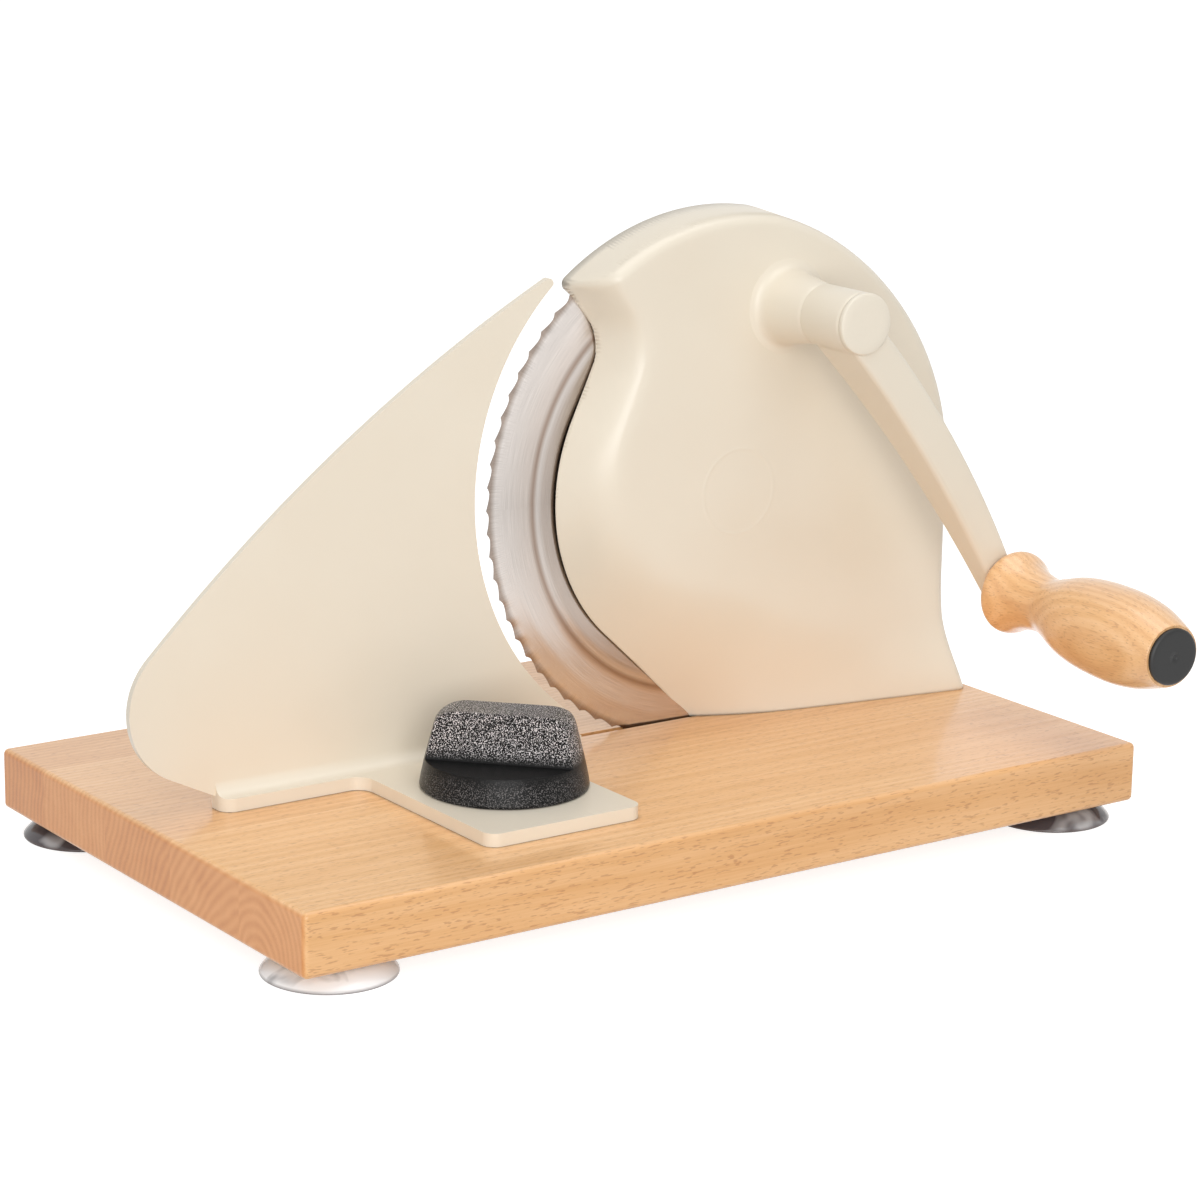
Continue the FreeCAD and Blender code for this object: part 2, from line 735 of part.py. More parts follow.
def behindFoot(offset):
    # everything behind the curved lower part of the front, moved back by the offset
    floor = -8
    across = 44
    up = 14
    grid = []
    for i in range(across + 1):
        x = frontLeft + frontWide * i / across
        heights = [floor + (flatFrom - floor) * j / up for j in range(up + 1)]
        grid.append([Vec(x, faceDepth(x, z) + offset, z) for z in heights])
    surface = Part.BSplineSurface()
    surface.interpolate(grid)
    return surface.toShape().extrude(Vec(0, frontDeep, 0))


def crownBlock():
    # The part above the foot's curve: flat in front and drafted round its crown and down its right
    # side, with the edge between them rounded. The arc touches the front and the drafted wall.
    round_ = number("dim.front_round")
    lean = math.atan(draft)
    sharp = housingRadius - draft * (housingBack - housingFace)
    touch = round_ / math.tan(math.pi / 4 + lean / 2)
    half = (math.pi / 2 + lean) / 2
    onFront = sharp - touch
    onWall = (sharp + touch * math.sin(lean), housingFace + touch * math.cos(lean))
    onArc = (onFront + round_ * math.cos(half), housingFace + round_ * (1 - math.sin(half)))

    def section(inner, x, z):
        places = [(inner, housingFace), (onFront, housingFace), onArc, onWall,
                  (housingRadius, housingBack), (inner, housingBack)]
        p = [spot(x + r, z, y) for r, y in places]
        edges = [Part.LineSegment(p[0], p[1]).toShape(), Part.Arc(p[1], p[2], p[3]).toShape()]
        edges += [Part.LineSegment(p[i], p[(i + 1) % 6]).toShape() for i in (3, 4, 5)]
        return Part.Face(Part.Wire(edges))

    top = section(0, bladeX, bladeRise).revolve(bladeAxis, Vec(0, 1, 0), -180)
    side = section(-housingRadius, bladeX, flatFrom).extrude(Vec(0, 0, bladeRise - flatFrom))
    return top.fuse(side)


foot = housingBlock(0, 0, draft, 0, housingBack).common(behindFoot(0))
crown = housingBlock(0, -overrun, 0, 0, housingBack).common(crownBlock())
blockOuter = foot.fuse(crown).removeSplitter()
edgeWall = housingWall + 1
above = Part.makeBox(frontWide, frontDeep, bladeRise + housingRadius,
                     Vec(frontLeft, housingFace + housingWall, flatFrom))
behindInner = behindFoot(housingWall).fuse(above)
blockInner = housingBlock(edgeWall, housingWall, draft, -2, housingBack + 1).common(behindInner)
rimRadius = number("dim.blade_radius + dim.rim_clearance")
bladeSpace = drum(bladeX, bladeRise, rimRadius, guardEnd, housingBack + 5)

# bosses inside: the blade's axle, the crank's bush, the gear cover, the panel and the board screws
coverScrewAngles = (20, 150, 215, 290)
rivetAngles = (90, 210, 330)
coverFrontY = number(coverFront)
coverRing = number("dim.cover_screw_ring")
coverSpots = [polar(bladeAxis, coverRing, angle) for angle in coverScrewAngles]
panelScrewX = "(dim.blade_x + dim.housing_radius - dim.panel_screw_inset)"
panelSpots = [spot(number(panelScrewX), number(z))
              for z in ("dim.panel_screw_low", "dim.panel_screw_high")]
forward = housingFace - 5
bossFront = number("dim.boss_front")
gearFront = number("dim.gear_front")
bossEnd = number(bossBack)
bushRadius = number("dim.shaft_radius + dim.run_clearance + dim.bush_wall")
bosses = [
    drum(bladeX, bladeRise, number("dim.axle_boss_radius"), forward, bossEnd),
    drum(crankAxis.x, crankAxis.z, bushRadius + number("dim.bush_boss_wall"), forward, bossEnd),
]
for place in coverSpots:
    bosses.append(drum(place.x, place.z, number("dim.cover_boss_radius"), forward, coverFrontY))
for place in panelSpots:
    bosses.append(drum(place.x, place.z, number("dim.panel_boss_radius"), forward, number(panelFront)))
for x, y in housingScrews:
    bosses.append(Part.makeCylinder(number("dim.housing_boss_radius"),
                                    number("dim.housing_boss_high"), Vec(number(x), number(y), 0)))
shell = blockOuter.cut(blockInner).fuse([boss.common(blockOuter) for boss in bosses])
shell = shell.cut(bladeSpace)

# boss that carries the crank, with a hollow skirt where it meets the face
frontRadius = number("dim.boss_front_radius")
rootRadius = number("dim.boss_root_radius")
skirtRadius = number("dim.boss_skirt_radius")
skirt = skirtRadius - rootRadius
sunk = housingFace + number("dim.boss_sunk")
corners = [
    spot(0, 0, bossFront),
    spot(frontRadius, 0, bossFront),
    spot(rootRadius, 0, housingFace - skirt),
    spot(skirtRadius + 0.5 * number("dim.boss_sunk"), 0, sunk),
    spot(0, 0, sunk),
]
bend = spot(rootRadius + 0.3 * skirt, 0, housingFace - 0.25 * skirt)
profile = Part.Wire([
    Part.LineSegment(corners[0], corners[1]).toShape(),
    Part.LineSegment(corners[1], corners[2]).toShape(),
    Part.Arc(corners[2], bend, corners[3]).toShape(),
    Part.LineSegment(corners[3], corners[4]).toShape(),
    Part.LineSegment(corners[4], corners[0]).toShape(),
])
boss = Part.Face(profile).revolve(Vec(), Vec(0, 1, 0), 360)
boss.translate(crankAxis)
shell = shell.fuse(boss)

# bores: crank bush, axle seat and screw holes
axleRadius = number("dim.axle_radius")
axleFront = bossEnd - number("dim.axle_bite")
shell = shell.cut([
    drum(crankAxis.x, crankAxis.z, bushRadius, bossFront - 1, bossEnd + 1),
    drum(bladeX, bladeRise, axleRadius, axleFront, bossEnd + 1),
])
coverScrewRadius = number("dim.cover_screw_radius")
coverBite = number("dim.cover_screw_bite")
panelFrontY = number(panelFront)
shell = shell.cut(
    [drum(p.x, p.z, coverScrewRadius, coverFrontY - coverBite, coverFrontY + 1) for p in coverSpots]
    + [drum(p.x, p.z, coverScrewRadius, panelFrontY - coverBite, panelFrontY + 1) for p in panelSpots]
    + [Part.makeCylinder(number("dim.housing_screw_radius"), number("dim.housing_screw_bite"),
                         Vec(number(x), number(y), 0)) for x, y in housingScrews])
formed("housing_shell", shell.removeSplitter(), z=boardTop)

# cover between the gears and the blade
coverBackY = number(coverBack)
coverWide = number("dim.cover_radius")
coverNeck = number("dim.cover_neck_radius")
gapVector = crankAxis - bladeAxis
across = Vec(-gapVector.z, 0, gapVector.x).normalize()
strip = Part.makePolygon([bladeAxis + across * coverNeck, bladeAxis - across * coverNeck,
                          crankAxis - across * coverNeck, crankAxis + across * coverNeck,
                          bladeAxis + across * coverNeck])
cover = drum(bladeX, bladeRise, coverWide, coverFrontY, coverBackY)
cover = cover.fuse([drum(crankAxis.x, crankAxis.z, coverNeck, coverFrontY, coverBackY),
                    alongY(strip, coverFrontY, coverBackY)])
hubRadius = number("dim.hub_radius")
cover = cover.cut([drum(bladeX, bladeRise, hubRadius + 1, coverFrontY - 1, coverBackY + 1)]
                  + [drum(p.x, p.z, coverScrewRadius, coverFrontY - 1, coverBackY + 1)
                     for p in coverSpots])
headDeep = number(sinkDeep)
coverSinks = [Part.makeCone(coverScrewRadius, coverScrewRadius + headDeep, headDeep,
                            Vec(p.x, coverBackY - headDeep, p.z), Vec(0, 1, 0)) for p in coverSpots]
cover = cover.cut(coverSinks)
formed("gear_cover", cover.removeSplitter(), z=boardTop)

# panel that closes the back of the housing beside the blade
panelGap = number("dim.panel_gap")
panelOutline = housingWire(0, edgeWall, housingWall + panelGap + draft * number("dim.panel_thick"), 0)
panel = alongY(panelOutline, panelFrontY, housingBack)
panel = panel.cut(drum(bladeX, bladeRise, rimRadius + 1, panelFrontY - 1, housingBack + 1))
lowRight = Part.makeBox(2 * housingRadius, 2 * housingBack, bladeRise, Vec(bladeX, 0, 0))
panel = panel.common(lowRight)
panelSinks = [Part.makeCone(coverScrewRadius, coverScrewRadius + headDeep, headDeep,
                            Vec(p.x, housingBack - headDeep, p.z), Vec(0, 1, 0)) for p in panelSpots]
panel = panel.cut([drum(p.x, p.z, coverScrewRadius, panelFrontY - 1, housingBack + 1)
                   for p in panelSpots] + panelSinks)
formed("back_panel", panel.removeSplitter(), z=boardTop)


def sunkScrews(label, places, plateBack, plateThick):
    # countersunk screws, flush with the back of the plate that they hold
    pieces = []
    for i, (x, z) in enumerate(places):
        name = "%s_%d" % (label, i)
        head = doc.addObject("Part::Cone", name + "_head")
        head.setExpression("Radius1", "dim.cover_screw_radius + " + sinkDeep)
        head.setExpression("Radius2", "dim.cover_screw_radius")
        head.setExpression("Height", sinkDeep)
        head.Placement = FreeCAD.Placement(Vec(), wayTurns["front"])
        head.setExpression("Placement.Base.x", x)
        head.setExpression("Placement.Base.y", plateBack + " + " + shift)
        head.setExpression("Placement.Base.z", z)
        stem = rod(name + "_stem", "dim.cover_screw_radius",
                   "dim.cover_screw_bite + " + plateThick + " - " + sinkDeep,
                   x, plateBack + " - " + sinkDeep, z, "front")
        pieces.append(joined("Fuse", name, head, stem))
    group(label, pieces)


def around(x, z, radius, angles):
    # places on a circle, as expressions
    return [("%s + %s * cos(%g)" % (x, radius, a), "%s + %s * sin(%g)" % (z, radius, a))
            for a in angles]


sunkScrews("cover_screws", around("dim.blade_x", bladeZ, "dim.cover_screw_ring", coverScrewAngles),
           coverBack, "dim.cover_thick")
sunkScrews("panel_screws", [(panelScrewX, boardTop + " + dim.panel_screw_low"),
                            (panelScrewX, boardTop + " + dim.panel_screw_high")],
           "dim.housing_back", "dim.panel_thick")

# screws that hold the housing from under the board
group("housing_screws", [
    screw("housing_screw_%d" % i, "dim.housing_screw_head", "dim.housing_screw_head_high",
          "dim.housing_screw_radius",
          "dim.board_thick - dim.counterbore_deep + dim.housing_washer_thick + dim.housing_screw_bite",
          x, y, counterRoof + " - dim.housing_washer_thick - dim.housing_screw_head_high", "up")
    for i, (x, y) in enumerate(housingScrews)])
group("housing_washers", [
    ring("housing_washer_%d" % i, "dim.housing_washer_radius", "dim.housing_screw_radius",
         "dim.housing_washer_thick", x, y, counterRoof + " - dim.housing_washer_thick")
    for i, (x, y) in enumerate(housingScrews)])


# ---- gears
def toothedDisc(teeth, wide, phase):
    # Involute gear about the Y axis, with 20 degree flanks, one tooth centred on the phase angle and
    # half of the backlash taken off the teeth of each gear.
    module = number("dim.gear_module")
    pitch = module * teeth / 2
    tip = pitch + module * number("dim.tooth_high")
    root = pitch - module * 1.2
    base = pitch * math.cos(math.radians(20))
    atPitch = math.tan(math.radians(20)) - math.radians(20)
    halfTooth = math.pi / (2 * teeth) - number("dim.gear_backlash") / (4 * pitch)
    start = max(base, root)
    radii = [start + (tip - start) * i / 4 for i in range(5)]

    def offset(radius):
        # angle from the tooth's centre line to its flank
        slant = math.acos(min(1, base / radius))
        return halfTooth + atPitch - (math.tan(slant) - slant)

    edges = []
    for i in range(int(teeth)):
        middle = phase + 360.0 * i / teeth
        turn = 360.0 / teeth
        origin = Vec()
        rise = [polar(origin, r, middle - math.degrees(offset(r))) for r in radii]
        fall = [polar(origin, r, middle + math.degrees(offset(r))) for r in reversed(radii)]
        rootStart = polar(origin, root, middle - math.degrees(offset(start)))
        rootEnd = polar(origin, root, middle + math.degrees(offset(start)))
        nextRoot = polar(origin, root, middle + turn - math.degrees(offset(start)))
        if start > root:
            edges.append(Part.LineSegment(rootStart, rise[0]).toShape())
        edges.append(flank(rise))
        edges.append(Part.LineSegment(rise[-1], fall[0]).toShape())
        edges.append(flank(fall))
        if start > root:
            edges.append(Part.LineSegment(fall[-1], rootEnd).toShape())
        edges.append(Part.LineSegment(rootEnd, nextRoot).toShape())
    return alongY(Part.Wire(edges), 0, wide)


def flank(points):
    curve = Part.BSplineCurve()
    curve.interpolate(points)
    return curve.toShape()


gearWide = number("dim.gear_wide")
runClear = number("dim.run_clearance")
bladeTeeth = number("dim.blade_gear_teeth")
crankTeeth = number("dim.crank_gear_teeth")
lineAngle = 90 - number("dim.crank_lean")
hubBack = number(dishFront) - gearFront
washerDeep = number("dim.axle_washer_thick")
washerRadius = number("dim.axle_washer_radius")
screwRing = number("dim.rivet_ring")
rivetRadius = number("dim.rivet_radius")
rivetBite = number("dim.rivet_bite")
washerRoom = washerRadius + number("dim.axle_washer_clearance")
rivetSpots = [polar(Vec(), screwRing, angle) for angle in rivetAngles]

bladeGear = toothedDisc(bladeTeeth, gearWide, lineAngle)
bladeGear = bladeGear.fuse(drum(0, 0, hubRadius, 0, hubBack))
bladeGear = bladeGear.cut([drum(0, 0, axleRadius + runClear, -1, hubBack + 1),
                           drum(0, 0, washerRoom, hubBack - washerDeep, hubBack + 1)]
                          + [drum(p.x, p.z, rivetRadius, hubBack - rivetBite, hubBack + 1)
                             for p in rivetSpots])
formed("blade_gear", bladeGear, "dim.blade_x", "dim.gear_front", bladeZ)

shaftRadius = number("dim.shaft_radius")
crankGear = toothedDisc(crankTeeth, gearWide, lineAngle + 180 + 180 / crankTeeth)
crankGear = crankGear.cut(drum(0, 0, shaftRadius, -1, gearWide + 1))
formed("crank_gear", crankGear, crankX, "dim.gear_front", crankZ)

# ---- blade: a dished disc with a wavy edge, bevelled on its front
bladeRadius = number("dim.blade_radius")
bladeThick = number("dim.blade_thick")
dish = number("dim.blade_dish")
step = number("dim.blade_step_radius")
stepWide = number("dim.blade_step_wide")
bevelWide = number("dim.blade_bevel_wide")
edgeThick = number("dim.blade_edge_thick")
toothDeep = number("dim.blade_tooth_deep")
section = Part.makePolygon([
    spot(washerRoom, 0, -dish), spot(step, 0, -dish), spot(step + stepWide, 0, 0),
    spot(bladeRadius - bevelWide, 0, 0), spot(bladeRadius, 0, bladeThick - edgeThick),
    spot(bladeRadius, 0, bladeThick), spot(step + stepWide, 0, bladeThick),
    spot(step, 0, bladeThick - dish), spot(washerRoom, 0, bladeThick - dish), spot(washerRoom, 0, -dish)])
disc = Part.Face(section).revolve(Vec(), Vec(0, 1, 0), 360)
scallops = []
bladeTeethCount = int(number("dim.blade_teeth"))
for i in range(bladeTeethCount):
    first = 360.0 * i / bladeTeethCount
    last = 360.0 * (i + 1) / bladeTeethCount
    low = polar(Vec(), bladeRadius - toothDeep, first)
    rise = polar(Vec(), bladeRadius - 0.25 * toothDeep, first + 0.4 * (last - first))
    tip = polar(Vec(), bladeRadius, last - 0.15 * (last - first))
    scallops.append(Part.Arc(low, rise, tip).toShape())
    scallops.append(Part.LineSegment(tip, polar(Vec(), bladeRadius - toothDeep, last)).toShape())
disc = disc.common(alongY(Part.Wire(scallops), -2 * bladeThick, 2 * bladeThick))
disc = disc.cut([drum(p.x, p.z, rivetRadius, -2 * bladeThick, 2 * bladeThick) for p in rivetSpots])
formed("blade_disc", disc, "dim.blade_x", "dim.blade_front", bladeZ)

# rivets that hold the blade to the gear's hub, with low heads on the blade's back
rivetBack = "(" + dishFront + " + dim.blade_thick)"
group("blade_rivets", [
    screw("blade_rivet_%d" % i, "dim.rivet_head_radius", "dim.rivet_head_high", "dim.rivet_radius",
          "dim.blade_thick + dim.rivet_bite", x, rivetBack + " + dim.rivet_head_high", z, "front")
    for i, (x, z) in enumerate(around("dim.blade_x", bladeZ, "dim.rivet_ring", rivetAngles))])

# fixed axle in the housing's boss, with the washer and screw that keep the blade on it
axle = newBody("blade_axle", "dim.blade_x", "0", bladeZ)
axleTap = "(" + axleBack + " - dim.axle_screw_long)"
axleStart = "(" + bossBack + " - dim.axle_bite)"
turned(axle, [
    ("0", axleStart),
    ("dim.axle_radius", axleStart),
    ("dim.axle_radius", axleBack),
    ("dim.axle_screw_radius", axleBack),
    ("dim.axle_screw_radius", axleTap),
    ("0", axleTap),
], "XY_Plane")
keep(ring("axle_washer", "dim.axle_washer_radius", "dim.axle_screw_radius", "dim.axle_washer_thick",
          "dim.blade_x", axleBack, bladeZ, "back"), "axle_washer")
axleScrewHead = "(dim.blade_thick - dim.axle_screw_sunk)"
keep(screw("axle_screw", "dim.axle_screw_head", axleScrewHead, "dim.axle_screw_radius",
           "dim.axle_screw_long + dim.axle_washer_thick", "dim.blade_x",
           axleBack + " + dim.axle_washer_thick + " + axleScrewHead, bladeZ, "front"), "axle_screw")

# ---- crank shaft, bush, clip and thrust washer
keep(ring("crank_bush", "dim.shaft_radius + dim.run_clearance + dim.bush_wall",
          "dim.shaft_radius + dim.run_clearance", bossBack + " - dim.boss_front",
          crankX, "dim.boss_front", crankZ, "back"), "crank_bush")
keep(ring("thrust_washer", "dim.boss_front_radius", "dim.shaft_radius", "dim.thrust_thick",
          crankX, armHubBack, crankZ, "back"), "thrust_washer")
shaft = newBody("crank_shaft", crankX, "0", crankZ)
shaftBack = "(" + gearBack + " + dim.clip_thick + dim.shaft_end)"
shaftFront = "(" + armHubFront + " + dim.crank_screw_head_high + dim.crank_screw_sunk)"
shaftTap = "(" + shaftFront + " + dim.crank_screw_bite)"
clipSeat = "(dim.shaft_radius - dim.clip_groove)"
turned(shaft, [
    ("0", shaftTap),
    ("dim.crank_screw_radius", shaftTap),
    ("dim.crank_screw_radius", shaftFront),
    ("dim.shaft_radius", shaftFront),
    ("dim.shaft_radius", gearBack),
    (clipSeat, gearBack),
    (clipSeat, gearBack + " + dim.clip_thick"),
    ("dim.shaft_radius", gearBack + " + dim.clip_thick"),
    ("dim.shaft_radius", shaftBack),
    ("0", shaftBack),
], "XY_Plane")
keep(ring("shaft_clip", "dim.shaft_radius + dim.clip_rim", clipSeat, "dim.clip_thick",
          crankX, gearBack, crankZ, "back"), "shaft_clip")

# ---- crank arm. Its own X runs from the shaft to the grip.
arm = newBody("crank_arm", crankX, "0", crankZ)
armTurn = FreeCAD.Rotation(Vec(0, 1, 0), number("dim.crank_angle"))
arm.Placement.Rotation = armTurn
side = newSketch(arm, "XZ_Plane", "-" + armHubBack)
outline(side, [
    ("0.6 * dim.arm_hub_radius", "-0.8 * dim.arm_hub_radius", "dim.arm_under_curve", -1),
    ("dim.crank_throw", "-dim.arm_end_under"),
    ("dim.crank_throw", "dim.arm_end_top", "dim.arm_top_curve", 1),
    ("0.8 * dim.arm_hub_radius", "0.6 * dim.arm_hub_radius", "dim.arm_hub_radius", 1),
    ("-dim.arm_hub_radius", "0", "dim.arm_hub_radius", 1),
])
pad(arm, side, "dim.arm_hub_long")
# the arm thins towards its end: a wedge comes off its front and its back
wedgeStart = "dim.arm_hub_radius + 1"
armOut = "(dim.crank_throw + 5)"
for near, far, past in (
        (armHubFront, "dim.arm_end_front", armHubFront + " - 20"),
        (armHubBack, "dim.arm_end_back", armHubBack + " + 20")):
    wedge = newSketch(arm, "XY_Plane", "-dim.arm_hub_radius - 20")
    outline(wedge, [
        (wedgeStart, near),
        (armOut, far),
        (armOut, past),
        (wedgeStart, past),
    ])
    cut(arm, wedge, "2 * dim.arm_hub_radius + 40", away=True)
shaftBore = newSketch(arm, "XZ_Plane", "-" + armHubBack)
rounds(shaftBore, [("0", "0")], "dim.shaft_radius")
cut(arm, shaftBore, "dim.arm_hub_long", away=True)
headBore = newSketch(arm, "XZ_Plane", "-" + armHubFront)
rounds(headBore, [("0", "0")], "dim.crank_screw_head + dim.crank_screw_clearance")
cut(arm, headBore, "dim.crank_screw_head_high + dim.crank_screw_sunk")

# the eye at its end stands square to the grip's pin
armAngle = math.radians(number("dim.crank_angle"))
throw = number("dim.crank_throw")
pinX = number(crankX) + throw * math.cos(armAngle)
pinZ = number(crankZ) - throw * math.sin(armAngle)
gripTurn = FreeCAD.Rotation(number("dim.grip_yaw"), 0, number("dim.grip_roll"))
gripPlace = FreeCAD.Placement(
    Vec(pinX, number("dim.grip_base") + number(shift), pinZ), gripTurn)
doc.recompute()
eyePlace = arm.Placement.inverse() * gripPlace
for radius, long, way in (("dim.arm_eye_radius", "dim.arm_eye_thick", "add"),
                          ("dim.pin_radius", "dim.pin_bite", "take")):
    eye = arm.newObject("Sketcher::SketchObject", "arm_eye")
    plane = [datum for datum in arm.Origin.OriginFeatures if datum.Role == "XZ_Plane"][0]
    eye.AttachmentSupport = [(plane, "")]
    eye.MapMode = "FlatFace"
    facing = FreeCAD.Rotation(Vec(1, 0, 0), 90)
    eye.AttachmentOffset = FreeCAD.Placement(Vec(), facing).inverse() * eyePlace * FreeCAD.Placement(
        Vec(), facing)
    rounds(eye, [("0", "0")], radius)
    if way == "add":
        pad(arm, eye, long).Reversed = True
    else:
        cut(arm, eye, long)
    doc.recompute()

keep(screw("crank_screw", "dim.crank_screw_head", "dim.crank_screw_head_high",
           "dim.crank_screw_radius", "dim.crank_screw_bite", crankX,
           shaftFront + " - dim.crank_screw_head_high", crankZ, "back"), "crank_screw")
keep(rod("hub_cap", "dim.arm_hub_radius", "dim.cap_thick", crankX, armHubFront, crankZ, "front"),
     "hub_cap")

# ---- grip and its pin. The grip leans a little, so these share a turned place.

def onPin(label, corners):
    # turned piece about the pin, with distances along the pin counted from the grip's collar
    body = doc.addObject("PartDesign::Body", label)
    body.Placement = gripPlace
    keep(body, label)
    turned(body, [(corner[0], "-(" + corner[1] + ")") + tuple(corner[2:]) for corner in corners],
           "XY_Plane")
    return body


bushOuter = "(dim.pin_radius + dim.run_clearance + dim.grip_bush_wall)"
counterEnd = "(dim.pin_long - dim.pin_clearance)"
headRoom = "(dim.pin_head_radius + dim.pin_head_clearance)"
pinRoom = "(dim.pin_radius + dim.pin_clearance)"
# the belly is one arc that rises from the neck to its full radius and falls to the end
bellyStart = "(dim.grip_neck_radius + 1.2)"
bellyRise = "(dim.grip_belly_radius - (" + bellyStart + " + dim.grip_end_radius) / 2)"
bellyHalf = "((dim.grip_long - dim.grip_belly_at) / 2)"
bellyCurve = "((" + bellyHalf + " ^ 2 + " + bellyRise + " ^ 2) / (2 * " + bellyRise + "))"
onPin("handle_grip", [
    (bushOuter, "dim.grip_gap"),
    ("dim.grip_collar_radius - 1", "dim.grip_gap"),
    ("dim.grip_collar_radius", "dim.grip_gap + 1.1", "2.6", -1),
    ("dim.grip_collar_radius - 0.4", "dim.grip_collar_long", "2 * dim.grip_collar_radius", 1),
    ("dim.grip_neck_radius + 0.1", "dim.grip_neck_at", "17", 1),
    (bellyStart, "dim.grip_belly_at", bellyCurve, -1),
    ("dim.grip_end_radius", "dim.grip_long"),
    (headRoom, "dim.grip_long"),
    (headRoom, counterEnd),
    (pinRoom, counterEnd),
    (pinRoom, "dim.grip_bush_long"),
    (bushOuter, "dim.grip_bush_long"),
])
onPin("grip_bush", [
    ("dim.pin_radius + dim.run_clearance", "dim.grip_gap"),
    (bushOuter, "dim.grip_gap"),
    (bushOuter, "dim.grip_bush_long"),
    ("dim.pin_radius + dim.run_clearance", "dim.grip_bush_long"),
])
onPin("grip_cap", [
    ("0", "dim.grip_long - dim.grip_plug_long"),
    (headRoom, "dim.grip_long - dim.grip_plug_long"),
    (headRoom, "dim.grip_long"),
    ("dim.grip_cap_radius", "dim.grip_long"),
    ("dim.grip_cap_radius", "dim.grip_long + dim.grip_cap_thick"),
    ("0", "dim.grip_long + dim.grip_cap_thick"),
])
onPin("grip_pin", [
    ("0", "-dim.pin_bite"),
    ("dim.pin_radius", "-dim.pin_bite"),
    ("dim.pin_radius", "dim.pin_long"),
    ("dim.pin_head_radius", "dim.pin_long"),
    ("dim.pin_head_radius", "dim.pin_long + dim.pin_head_high"),
    ("0", "dim.pin_long + dim.pin_head_high"),
])

# ---- stop plate: upright wall, foot with a rounded bend and a lug for the clamp
plateFront = "(dim.plate_back - dim.plate_thick)"
plate = newBody("stop_plate", "0", "0", boardTop)
wall = newSketch(plate, "XZ_Plane", "-dim.plate_back")
arcFootZ = "(dim.plate_arc_z - sqrt(dim.plate_arc_radius ^ 2 - (dim.plate_arc_x - dim.plate_right) ^ 2))"
outline(wall, [
    ("dim.plate_foot_left", "0"),
    ("dim.plate_right", "0"),
    ("dim.plate_right", arcFootZ, "dim.plate_arc_radius", -1),
    ("dim.tip_in_x", "dim.tip_in_z", "dim.tip_round", 1),
    ("dim.tip_in_x - dim.tip_across", "dim.tip_in_z + dim.tip_up", "dim.plate_top_curve", 1),
    ("dim.elbow_from_end - " + halfLong, "dim.elbow_high", "dim.plate_lobe_radius", 1),
    ("dim.heel_from_end - " + halfLong, "dim.heel_high"),
    ("dim.plate_foot_left", "dim.plate_foot_thick"),
])
pad(plate, wall, "dim.plate_thick")
footPlan = newSketch(plate, "XY_Plane")
outline(footPlan, [
    ("dim.plate_foot_left", "dim.plate_foot_front"),
    ("dim.lug_left - dim.lug_inside_round", "dim.plate_foot_front", "dim.lug_inside_round", -1),
    ("dim.lug_left", "dim.plate_foot_front - dim.lug_inside_round"),
    ("dim.lug_left", "dim.lug_front + dim.lug_round", "dim.lug_round", 1),
    ("dim.lug_left + dim.lug_round", "dim.lug_front"),
    ("dim.lug_right - dim.lug_round", "dim.lug_front", "dim.lug_round", 1),
    ("dim.lug_right", "dim.lug_front + dim.lug_round"),
    ("dim.lug_right", "dim.plate_foot_front"),
    ("dim.plate_right", "dim.plate_foot_front"),
    ("dim.plate_right", "dim.plate_back"),
    ("dim.plate_foot_left", "dim.plate_back"),
])
footPad = pad(plate, footPlan, "dim.plate_foot_thick")
bendY = number(plateFront)
bendZ = number("dim.plate_foot_thick")


def inBend(edge):
    ends = [vertex.Point for vertex in edge.Vertexes]
    return len(ends) == 2 and all(
        abs(end.y - bendY) < 0.01 and abs(end.z - bendZ) < 0.01 for end in ends)


roundOver(plate, footPad, "dim.plate_bend", inBend)
# the foot's free end is rounded in plan, and so is the end of the bend above it
footEnd = newSketch(plate, "XY_Plane")
outline(footEnd, [
    ("dim.plate_foot_left - dim.plate_foot_round", "dim.plate_foot_front - dim.plate_foot_round"),
    ("dim.plate_foot_left + dim.plate_foot_round", "dim.plate_foot_front - dim.plate_foot_round"),
    ("dim.plate_foot_left + dim.plate_foot_round", "dim.plate_foot_front", "dim.plate_foot_round", -1),
    ("dim.plate_foot_left", "dim.plate_foot_front + dim.plate_foot_round"),
    ("dim.plate_foot_left - dim.plate_foot_round", "dim.plate_foot_front + dim.plate_foot_round"),
])
cut(plate, footEnd, "dim.plate_foot_thick + dim.plate_bend", away=True)
boltHole = newSketch(plate, "XY_Plane")
rounds(boltHole, [("dim.clamp_x", "dim.clamp_y")], "dim.bolt_radius")
cut(plate, boltHole, "dim.plate_foot_thick", away=True)

# shoe under the lug that runs in the board's slot, and the bolt and washer that clamp it
shoe = newBody("guide_shoe", "dim.clamp_x", "dim.clamp_y", boardTop)
shoeHigh = "(dim.board_thick - dim.groove_deep - dim.shoe_lift)"
shoePlan = newSketch(shoe, "XY_Plane", "-" + shoeHigh)
outline(shoePlan, rectangle("-" + shoeHalf, shoeHalf, "-dim.shoe_long / 2", "dim.shoe_long / 2"))
pad(shoe, shoePlan, shoeHigh)
shoeHole = newSketch(shoe, "XY_Plane")
rounds(shoeHole, [("0", "0")], "dim.bolt_radius")
cut(shoe, shoeHole, shoeHigh)
keep(ring("clamp_washer", "dim.clamp_washer_radius", "dim.bolt_radius", "dim.clamp_washer_thick",
          "dim.clamp_x", "dim.clamp_y", grooveRoof + " - dim.clamp_washer_thick"), "clamp_washer")
bolt = newBody("clamp_bolt", "dim.clamp_x", "dim.clamp_y",
               grooveRoof + " - dim.clamp_washer_thick - dim.bolt_head_high")
hexPlan = newSketch(bolt, "XY_Plane")
